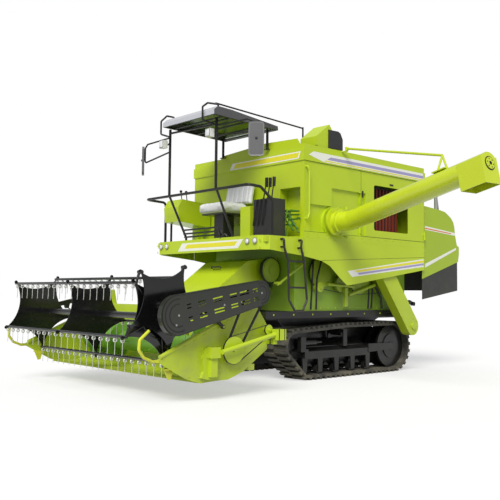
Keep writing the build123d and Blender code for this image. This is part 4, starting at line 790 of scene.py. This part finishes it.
# rows of bolts on both sides, each a body, a face, the first and last x and z, and a count
BOLT_ROWS = (
    ("machine", BODY_SIDE, (-1.18, 2.026), (1.50, 2.026), 15),
    ("machine", BODY_SIDE, (1.07, 1.99), (1.50, 1.99), 3),
    ("machine", BODY_SIDE, (-1.21, 1.68), (-1.21, 1.98), 4),
    ("machine", BODY_SIDE, (0.385, 2.10), (0.385, 2.98), 7),
    ("machine", BODY_SIDE, (1.545, 2.12), (1.545, 2.98), 6),
    ("machine", HOOD_SIDE, (-1.34, 1.60), (-1.34, 2.55), 7),
    ("machine", THRESHER_SIDE, (1.35, 1.00), (-1.12, 1.00), 16),
    ("machine", THRESHER_SIDE, (1.35, 1.90), (-1.12, 1.90), 16),
    ("header", FEEDER_SIDE, (1.62, 1.655), (1.92, 1.615), 4),
    ("header", FEEDER_SIDE, (2.02, 1.555), (2.62, 1.125), 6),
    ("header", FEEDER_SIDE, (1.70, 1.275), (2.62, 0.60), 8),
    ("machine", RAIL_SIDE, (1.85, 0.914), (-0.85, 0.914), 8),
    ("header", HEADER_SIDE, (3.02, 0.965), (4.12, 0.495), 9),
    ("header", HEADER_SIDE, (2.65, 0.835), (2.76, 0.995), 2),
    ("header", HEADER_SIDE, (3.02, 0.31), (3.78, 0.285), 6),
)
DOOR_BOLTS = ((-1.20, 2.10), (-1.20, 2.98), (0.30, 2.98))
GUARD_BOLTS = ((4.07, 0.962), (4.10, 0.86), (2.868, 1.208), (3.44, 1.070))
FASCIA_BOLTS = ((-1.12, 1.80), (-1.12, 1.90), (1.12, 1.80), (1.12, 1.90))

# the foot of the grain elevator and the flange of the unloading tube, both on the left,
# with the radius of the ring of bolts round each
ELEVATOR_FOOT = Vector((-0.990, 1.150, 0.714))
FOOT_RING = 0.115
TUBE_FLANGE = Vector((0.980, 1.195, 2.215))
FLANGE_RING = 0.192


def bolt_spots():
    """Where the bolts sit, each a body, a point and the way its head looks."""
    left = Vector((0, 1, 0))
    spots = []
    for side in (1, -1):
        for body, face, start, end, count in BOLT_ROWS:
            for index in range(count):
                x, z = Vector(start).lerp(Vector(end), index / (count - 1))
                spots.append((body, here(x, side * face, z), left * side))
    slope = math.radians(51)
    leg = Vector((math.cos(slope), 0, math.sin(slope))) * 1.62
    over = Vector((-math.sin(slope), 0, math.cos(slope)))
    for offset in (-0.125, 0.125):
        for index in range(12):
            spots.append(("machine", here(*(ELEVATOR_FOOT + over * offset + leg * index / 11)), left))
    for centre, radius in ((ELEVATOR_FOOT, FOOT_RING), (TUBE_FLANGE, FLANGE_RING)):
        for step in range(8):
            angle = math.radians(45 * step)
            reach = Vector((math.cos(angle), 0, math.sin(angle))) * radius
            spots.append(("machine", here(*(centre + reach)), left))
    spots += [("door", here(x, BODY_SIDE, z), left) for x, z in DOOR_BOLTS]
    spots += [("reel_lift", here(x, GUARD_SIDE, z), left) for x, z in GUARD_BOLTS]
    spots += [("machine", here(FASCIA, y, z), Vector((1, 0, 0))) for y, z in FASCIA_BOLTS]
    return spots


class HARVESTER_OT_bolts(bpy.types.Operator):
    """Bolt heads along the seams and flanges"""
    bl_idname = "harvester.bolts"
    bl_label = "Bolts"

    def execute(self, context):
        radius = sizes().bolt_radius
        spots = bolt_spots()
        for body, key, slot in (("machine", "lime_low", "lime_paint"), ("header", "lime_low", "lime_paint"),
                                ("door", "lime_low", "lime_paint"), ("reel_lift", "steel", "steel")):
            head = soften(disc(6, radius, 0.006, 0.0031), 0.0012, 1)
            bolt = gather([head, disc(14, radius * 1.35, 0.0016, 0.001)])
            places = [Matrix.Translation(point) @ out.to_track_quat("Z", "Y").to_matrix().to_4x4()
                      for name, point, out in spots if name == body]
            dress(repeat(bolt, places), f"bolts_{body}", key, body)
        return {"FINISHED"}


def bat_ways():
    """The directions from the reel's shaft to its bats."""
    for bat in range(BATS):
        angle = FIRST_BAT + math.tau * bat / BATS
        yield Vector((math.cos(angle), 0, math.sin(angle)))


class HARVESTER_OT_tines(bpy.types.Operator):
    """Spring wire tines with coils on the reel's bats"""
    bl_idname = "harvester.tines"
    bl_label = "Tines"

    def execute(self, context):
        coil = sizes().coil_radius
        coil_wire = 0.004
        ahead = 0.004
        let_go()
        bpy.ops.mesh.primitive_circle_add(vertices=8, radius=0.0036, fill_type="NGON",
                                          location=(ahead, 0, -0.012))
        wire = bpy.context.object
        pull(((0.0, 0, -0.06), (0.001, 0, -0.06), (0.003, 0, -0.045)))
        parts = [settle(wire)]
        for y in (-0.007, 0.0, 0.007):
            parts.append(ring((ahead, y, -coil), FACING_SIDE, coil - coil_wire, coil_wire, 20, 6))
        tine = shade(gather(parts), 50)
        places = []
        for way in bat_ways():
            for index in range(TINES_ON_BAT):
                y = (index - (TINES_ON_BAT - 1) / 2) * TINE_STEP
                places.append(Matrix.Translation(here(REEL[0], y, REEL[1] - 0.017) + way * BAT_REACH))
        tines = dress(repeat(tine, places), "reel_tine_wires", "wire", "reel_rotor")
        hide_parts("reel_tines")
        return {"FINISHED"}


def swell(obj, cap):
    """Remeshes the form, blows it up as cloth and keeps each point within cap of where it was."""
    last_frame = 20
    pick(obj)
    remesh = obj.modifiers.new("voxels", "REMESH")
    remesh.mode = "VOXEL"
    remesh.voxel_size = 0.006
    apply_all(obj)
    start = [vertex.co.copy() for vertex in obj.data.vertices]
    cloth = obj.modifiers.new("cloth", "CLOTH")
    cloth.settings.use_pressure = True
    cloth.settings.uniform_pressure_force = 4.0
    cloth.settings.effector_weights.gravity = 0
    cloth.settings.quality = 4
    for step in range(1, last_frame + 1):
        bpy.context.scene.frame_set(step)
    apply_all(obj)
    bpy.context.scene.frame_set(1)
    for vertex, was in zip(obj.data.vertices, start):
        moved = vertex.co - was
        if moved.length > cap:
            vertex.co = was + moved.normalized() * cap


def press_channels(obj, normal, first, step, half, on_face):
    """Sews five channels into a pad: points near each line go in against the normal."""
    depth = 0.013
    lines = [here(0, first + step * index, 0).y for index in range(1, 6)]
    for vertex in obj.data.vertices:
        nearest = min(abs(vertex.co.y - line) for line in lines)
        if on_face(vertex.co) and nearest < half:
            vertex.co -= normal * depth * (0.5 + 0.5 * math.cos(math.pi * nearest / half))


class HARVESTER_OT_seat(bpy.types.Operator):
    """Padded seat cushion and back"""
    bl_idname = "harvester.seat"
    bl_label = "Seat"

    def execute(self, context):
        pedestal_top = 2.3302
        cushion = block(here(1.772, -0.268, 2.345), here(2.238, 0.288, 2.462), 0.03)
        swell(cushion, 0.016)
        press_channels(cushion, Vector((0, 0, 1)), -0.28, 0.0967, 0.018, lambda co: co.z > 2.44)
        for vertex in cushion.data.vertices:
            vertex.co.z = max(vertex.co.z, pedestal_top)
        # the back leans from its foot to its top, each x and z
        foot = (1.752, 2.485)
        top = (1.690, 2.800)
        lean = math.atan2(top[1] - foot[1], top[0] - foot[0])
        middle = here(1.688, 0.015, 2.628)
        let_go()
        bpy.ops.mesh.primitive_cube_add(size=1, location=middle)
        back = bpy.context.object
        back.scale = (0.312, 0.585, 0.052)
        back.rotation_euler = (0, -lean, 0)
        soften(settle(back), 0.02, 3)
        swell(back, 0.014)
        normal = Vector((math.sin(lean), 0, -math.cos(lean)))
        press_channels(back, normal, -0.29, 0.1017, 0.019, lambda co: (co - middle).dot(normal) > 0.02)
        for pad, name in ((cushion, "seat_cushion"), (back, "seat_back")):
            smooth = pad.modifiers.new("smooth", "SUBSURF")
            smooth.levels = 1
            apply_all(pad)
            bpy.ops.object.shade_smooth()
            dress([pad], name, "cover", "machine")
            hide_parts("seat")
        return {"FINISHED"}


class HARVESTER_OT_lamps(bpy.types.Operator):
    """Bezels and lenses of the head lamps and work lamps"""
    bl_idname = "harvester.lamps"
    bl_label = "Lamps"

    def execute(self, context):
        bezels = []
        lenses = []
        for y in (-1.024, -0.882, 0.889, 1.036):
            centre = here(2.3352, y, 1.885)
            bezels.append(ring(centre, FACING_FRONT, 0.036, 0.006, 28))
            let_go()
            bpy.ops.mesh.primitive_uv_sphere_add(segments=24, ring_count=12, radius=0.032, location=centre)
            lens = bpy.context.object
            lens.scale = (0.35, 1, 1)
            lenses.append(settle(lens))
        for y, z in ((-0.655, 3.345), (0.400, 3.350)):
            bezels.append(block(here(2.6222, y - 0.047, z - 0.051), here(2.628, y + 0.047, z + 0.051), 0.002))
            lenses.append(block(here(2.6282, y - 0.040, z - 0.044), here(2.633, y + 0.040, z + 0.044), 0.002))
        dress(bezels, "lamp_bezels", "steel", "machine")
        dress([shade(gather(lenses), 50)], "lamp_lenses", "lens", "machine")
        return {"FINISHED"}


def rounded(half_width, half_height, radius):
    """The outline of a rectangle with round corners."""
    steps = 5
    points = []
    for index, (left, up) in enumerate(((1, 1), (-1, 1), (-1, -1), (1, -1))):
        for step in range(steps + 1):
            angle = math.radians(90 * (index + step / steps))
            points.append((left * (half_width - radius) + radius * math.cos(angle),
                           up * (half_height - radius) + radius * math.sin(angle)))
    return points


# each mirror's middle, the way its back looks, half its width and height, how far out its back lies,
# and where the boss on the back starts and ends
MIRRORS = (
    (here(2.318, 1.034, 3.212), Vector((0.707, 0.707, 0)), 0.1025, 0.225, 0.0342, 0.034, 0.052),
    (here(2.500, -1.262, 3.190), Vector((0.82, -0.57, 0)), 0.10, 0.21, 0.0302, 0.032, 0.048),
)


class HARVESTER_OT_mirrors(bpy.types.Operator):
    """Mirror rims, panels and bosses"""
    bl_idname = "harvester.mirrors"
    bl_label = "Mirrors"

    def execute(self, context):
        up = Vector((0, 0, 1))
        rims = []
        panels = []
        bosses = []
        for middle, out, half_width, half_height, back, boss_start, boss_end in MIRRORS:
            across = out.cross(up).normalized()
            rim = sheet_piece([middle + out * back + across * u + up * v
                               for u, v in rounded(half_width, half_height, 0.04)], out, 0.004)
            pick(rim)
            bpy.ops.object.mode_set(mode="EDIT")
            bpy.ops.mesh.select_all(action="DESELECT")
            bpy.ops.object.mode_set(mode="OBJECT")
            for polygon in rim.data.polygons:
                polygon.select = polygon.normal.dot(out) > 0.9
            bpy.ops.object.mode_set(mode="EDIT")
            bpy.ops.mesh.inset(thickness=0.012)
            bpy.ops.transform.translate(value=-out * 0.003)
            bpy.ops.object.mode_set(mode="OBJECT")
            rims.append(rim)
            inset = 0.016
            panels.append(sheet_piece([middle + out * (back + 0.0017) + across * u + up * v
                                       for u, v in rounded(half_width - inset, half_height - inset, 0.028)],
                                      out, 0.001))
            foot = middle + up * 0.010
            bosses.append(round_bar(foot + out * boss_start, foot + out * boss_end, 0.016, 16, 0.003))
        dress(rims, "mirror_rims", "rim", "machine")
        dress(panels, "mirror_panels", "grey", "machine")
        dress(bosses, "mirror_bosses", "plastic", "machine")
        return {"FINISHED"}


class HARVESTER_OT_top_rods(bpy.types.Operator):
    """Thin rods on the tank's top and behind the exhaust"""
    bl_idname = "harvester.top_rods"
    bl_label = "Top rods"

    def execute(self, context):
        rods = [round_bar(here(1.02, 0.90, 3.535), here(0.60, 0.98, 3.275), 0.011),
                round_bar(here(-2.030, 0.76, 2.605), here(-2.215, 0.70, 2.34), 0.012),
                round_bar(here(0.60, 0.98, 3.275), here(0.30, 1.00, 3.262), 0.011)]
        dress(rods, "top_rods", "plastic", "machine")
        return {"FINISHED"}


# the belts behind the ladder, each its ends in x and z, and its width
SIDE_BELT_RUNS = (
    ((1.137, 1.72), (1.192, 0.985), 0.026),
    ((0.968, 1.69), (1.066, 1.424), 0.024),
    ((1.066, 1.43), (1.080, 0.985), 0.024),
    ((-0.111, 1.29), (-0.087, 0.985), 0.03),
    ((-0.197, 1.29), (-0.160, 0.985), 0.03),
)
LINK_EYES = ((0.78, 1.343), (0.29, 1.319), (0.32, 1.20), (-0.22, 1.34), (1.78, 1.345), (1.33, 1.615))


class HARVESTER_OT_side_drives(bpy.types.Operator):
    """Belts and links on the thresher's left side, behind the ladder"""
    bl_idname = "harvester.side_drives"
    bl_label = "Side drives"

    def execute(self, context):
        belts = [strip(start, end, 0.965, width) for start, end, width in SIDE_BELT_RUNS]
        belts += [round_bar(here(-0.283, 0.95, 1.33), here(-0.428, 0.95, 1.146), 0.016),
                  round_bar(here(-0.428, 0.95, 1.146), here(-0.450, 0.95, 0.985), 0.016)]
        dress(belts, "side_belts", "ink", "machine")
        links = [round_bar(here(1.827, 0.95, 1.318), here(1.291, 0.95, 1.64), 0.016),
                 round_bar(here(0.817, 0.955, 1.345), here(0.238, 0.955, 1.317), 0.022),
                 round_bar(here(0.353, 0.955, 1.193), here(-0.263, 0.955, 1.35), 0.026),
                 block(here(0.385, 0.93, 1.02), here(0.455, 0.975, 1.30), 0.006),
                 round_bar(here(0.986, 0.86, 1.301), here(0.986, 0.968, 1.301), 0.072, 28, 0.006),
                 round_bar(here(0.986, 0.94, 1.301), here(0.986, 0.985, 1.301), 0.024, 18, 0.003)]
        links += [round_bar(here(x, THRESHER_SIDE, z), here(x, 0.965, z), 0.020) for x, z in LINK_EYES]
        dress(links, "side_links", "links", "machine")
        return {"FINISHED"}


class HARVESTER_OT_header_belts(bpy.types.Operator):
    """Belt runs up to the reel's drive and the bands of its gear box"""
    bl_idname = "harvester.header_belts"
    bl_label = "Header belts"

    def execute(self, context):
        belts = [strip((3.262, 0.692), (2.975, 1.262), 1.626, 0.028),
                 strip((3.060, 0.640), (2.760, 1.085), 1.626, 0.028)]
        belts += [block(here(x, 1.6505, 0.6485), here(x + 0.014, 1.7635, 0.7815), 0.001)
                  for x in (2.497, 2.588)]
        dress(belts, "header_belts", "ink", "header")
        return {"FINISHED"}


class HARVESTER_OT_reel_ribs(bpy.types.Operator):
    """Ring and ribs on the reel's outer discs"""
    bl_idname = "harvester.reel_ribs"
    bl_label = "Reel ribs"

    def execute(self, context):
        ribs = []
        for y in (-1.4055, 1.4055):
            hub = here(REEL[0], y, REEL[1])
            ribs.append(ring(hub, FACING_SIDE, 0.235, 0.008, 40))
            ribs += [round_bar(hub + way * 0.06, hub + way * 0.462, 0.007, 8) for way in bat_ways()]
        dress(ribs, "reel_disc_ribs", "gloss", "reel_rotor")
        return {"FINISHED"}


MUD_PLATE = ((1.40, 0.62), (-0.75, 0.70), (-1.05, 0.58), (-1.12, 0.40), (-1.03, 0.20), (-0.85, 0.10),
             (1.12, 0.10), (1.36, 0.38))


class HARVESTER_OT_mud_plates(bpy.types.Operator):
    """Thin plates that close the view through the track loops"""
    bl_idname = "harvester.mud_plates"
    bl_label = "Mud plates"

    def execute(self, context):
        plates = [sheet_piece([here(x, side * 0.497, z) for x, z in MUD_PLATE], (0, side, 0), 0.006)
                  for side in (1, -1)]
        dress(plates, "track_mud_plates", "coal", "machine")
        return {"FINISHED"}


class HARVESTER_OT_tube_bearing(bpy.types.Operator):
    """Bearing and bolts on the end of the unloading tube"""
    bl_idname = "harvester.tube_bearing"
    bl_label = "Tube bearing"

    def execute(self, context):
        rise = math.radians(11.7)
        swing = math.radians(8.0)
        along = Vector((math.cos(rise) * math.sin(swing), math.cos(rise) * math.cos(swing), math.sin(rise)))
        end = here(0.980, 1.530, 2.215) + along * 2.310
        across = along.cross(Vector((0, 0, 1))).normalized()
        upward = across.cross(along)

        def stud(middle, radius, sides, bevel=0.0):
            return round_bar(middle + along * 0.0105, middle + along * 0.0138, radius, sides, bevel)

        parts = [ring(end + along * 0.002, along.to_track_quat("Z", "Y").to_euler(), 0.078, 0.0055, 32),
                 stud(end, 0.022, 18, 0.001)]
        for step in range(6):
            angle = math.radians(60 * step + 15)
            parts.append(stud(end + (across * math.cos(angle) + upward * math.sin(angle)) * 0.050, 0.008, 10))
        dress(parts, "tube_bearing", "ink", "unloader")
        return {"FINISHED"}


# the thin links in the front recess, each its ends in y and z, and their pins
RECESS_LINKS = (
    ((0.830, 2.345), (1.130, 2.075)),
    ((0.930, 2.343), (1.140, 2.030)),
    ((0.884, 2.338), (1.150, 2.318)),
    ((0.911, 2.283), (1.150, 2.270)),
    ((0.970, 2.215), (1.150, 2.214)),
    ((0.873, 2.236), (1.047, 2.059)),
    ((0.850, 2.330), (0.845, 2.186)),
)
RECESS_PINS = ((0.93, 2.25), (1.05, 2.13), (0.90, 2.338), (1.14, 2.22))


class HARVESTER_OT_lever_links(bpy.types.Operator):
    """Grips and links of the control levers, and the links in the recess"""
    bl_idname = "harvester.lever_links"
    bl_label = "Lever links"

    def execute(self, context):
        bars = [round_bar(here(1.8975, y - 0.006, z - 0.095), here(1.9000, y, z + 0.030), 0.0225, 14, 0.005)
                for y, z in ((0.800, 2.745), (0.870, 2.738), (0.945, 2.742))]
        for y in (0.72, 0.80, 0.88):
            knee = here(2.012, y - 0.030, 2.300)
            bars += [round_bar(here(2.004, y, 2.470), knee, 0.010),
                     round_bar(knee, here(2.006, y - 0.070, 2.120), 0.010)]
        dress(bars, "lever_links", "coal", "machine")
        links = [round_bar(here(1.625, *start), here(1.625, *end), 0.011) for start, end in RECESS_LINKS]
        links += [round_bar(here(1.601, y, z), here(1.645, y, z), 0.017) for y, z in RECESS_PINS]
        dress(links, "recess_links", "moss", "machine")
        return {"FINISHED"}


class HARVESTER_OT_door_latch(bpy.types.Operator):
    """Handle and catch of the radiator door"""
    bl_idname = "harvester.door_latch"
    bl_label = "Door latch"

    def execute(self, context):
        latch = [block(here(0.312, BODY_SIDE, 2.62), here(0.338, 1.203, 2.72)),
                 block(here(-0.42, BODY_SIDE, 2.868), here(-0.33, 1.199, 2.892))]
        dress(latch, "door_latch", "coal", "door")
        return {"FINISHED"}


# the operators in the order in which they run
PIECES = (HARVESTER_OT_stage, HARVESTER_OT_finishes, HARVESTER_OT_stripes, HARVESTER_OT_seams,
          HARVESTER_OT_guard_grooves, HARVESTER_OT_bolts, HARVESTER_OT_tines, HARVESTER_OT_seat,
          HARVESTER_OT_lamps, HARVESTER_OT_mirrors, HARVESTER_OT_top_rods, HARVESTER_OT_side_drives,
          HARVESTER_OT_header_belts, HARVESTER_OT_reel_ribs, HARVESTER_OT_mud_plates,
          HARVESTER_OT_tube_bearing, HARVESTER_OT_lever_links, HARVESTER_OT_door_latch)


class HARVESTER_PT_panel(bpy.types.Panel):
    bl_label = "Harvester"
    bl_idname = "HARVESTER_PT_panel"
    bl_space_type = "VIEW_3D"
    bl_region_type = "UI"
    bl_category = "Harvester"

    def draw(self, context):
        layout = self.layout
        for piece in PIECES:
            layout.operator(piece.bl_idname)
        for group in (context.scene.harvester_colours, context.scene.harvester_sizes):
            for key in group.bl_rna.properties.keys():
                if key not in ("rna_type", "name"):
                    layout.prop(group, key)


CLASSES = (HarvesterColours, HarvesterSizes, *PIECES, HARVESTER_PT_panel)


def register():
    for item in CLASSES:
        bpy.utils.register_class(item)
    bpy.types.Scene.harvester_colours = PointerProperty(type=HarvesterColours)
    bpy.types.Scene.harvester_sizes = PointerProperty(type=HarvesterSizes)


def unregister():
    del bpy.types.Scene.harvester_sizes
    del bpy.types.Scene.harvester_colours
    for item in reversed(CLASSES):
        bpy.utils.unregister_class(item)


def main():
    register()
    for piece in PIECES:
        getattr(bpy.ops.harvester, piece.bl_idname.partition(".")[2])()


if __name__ == "__main__":
    main()
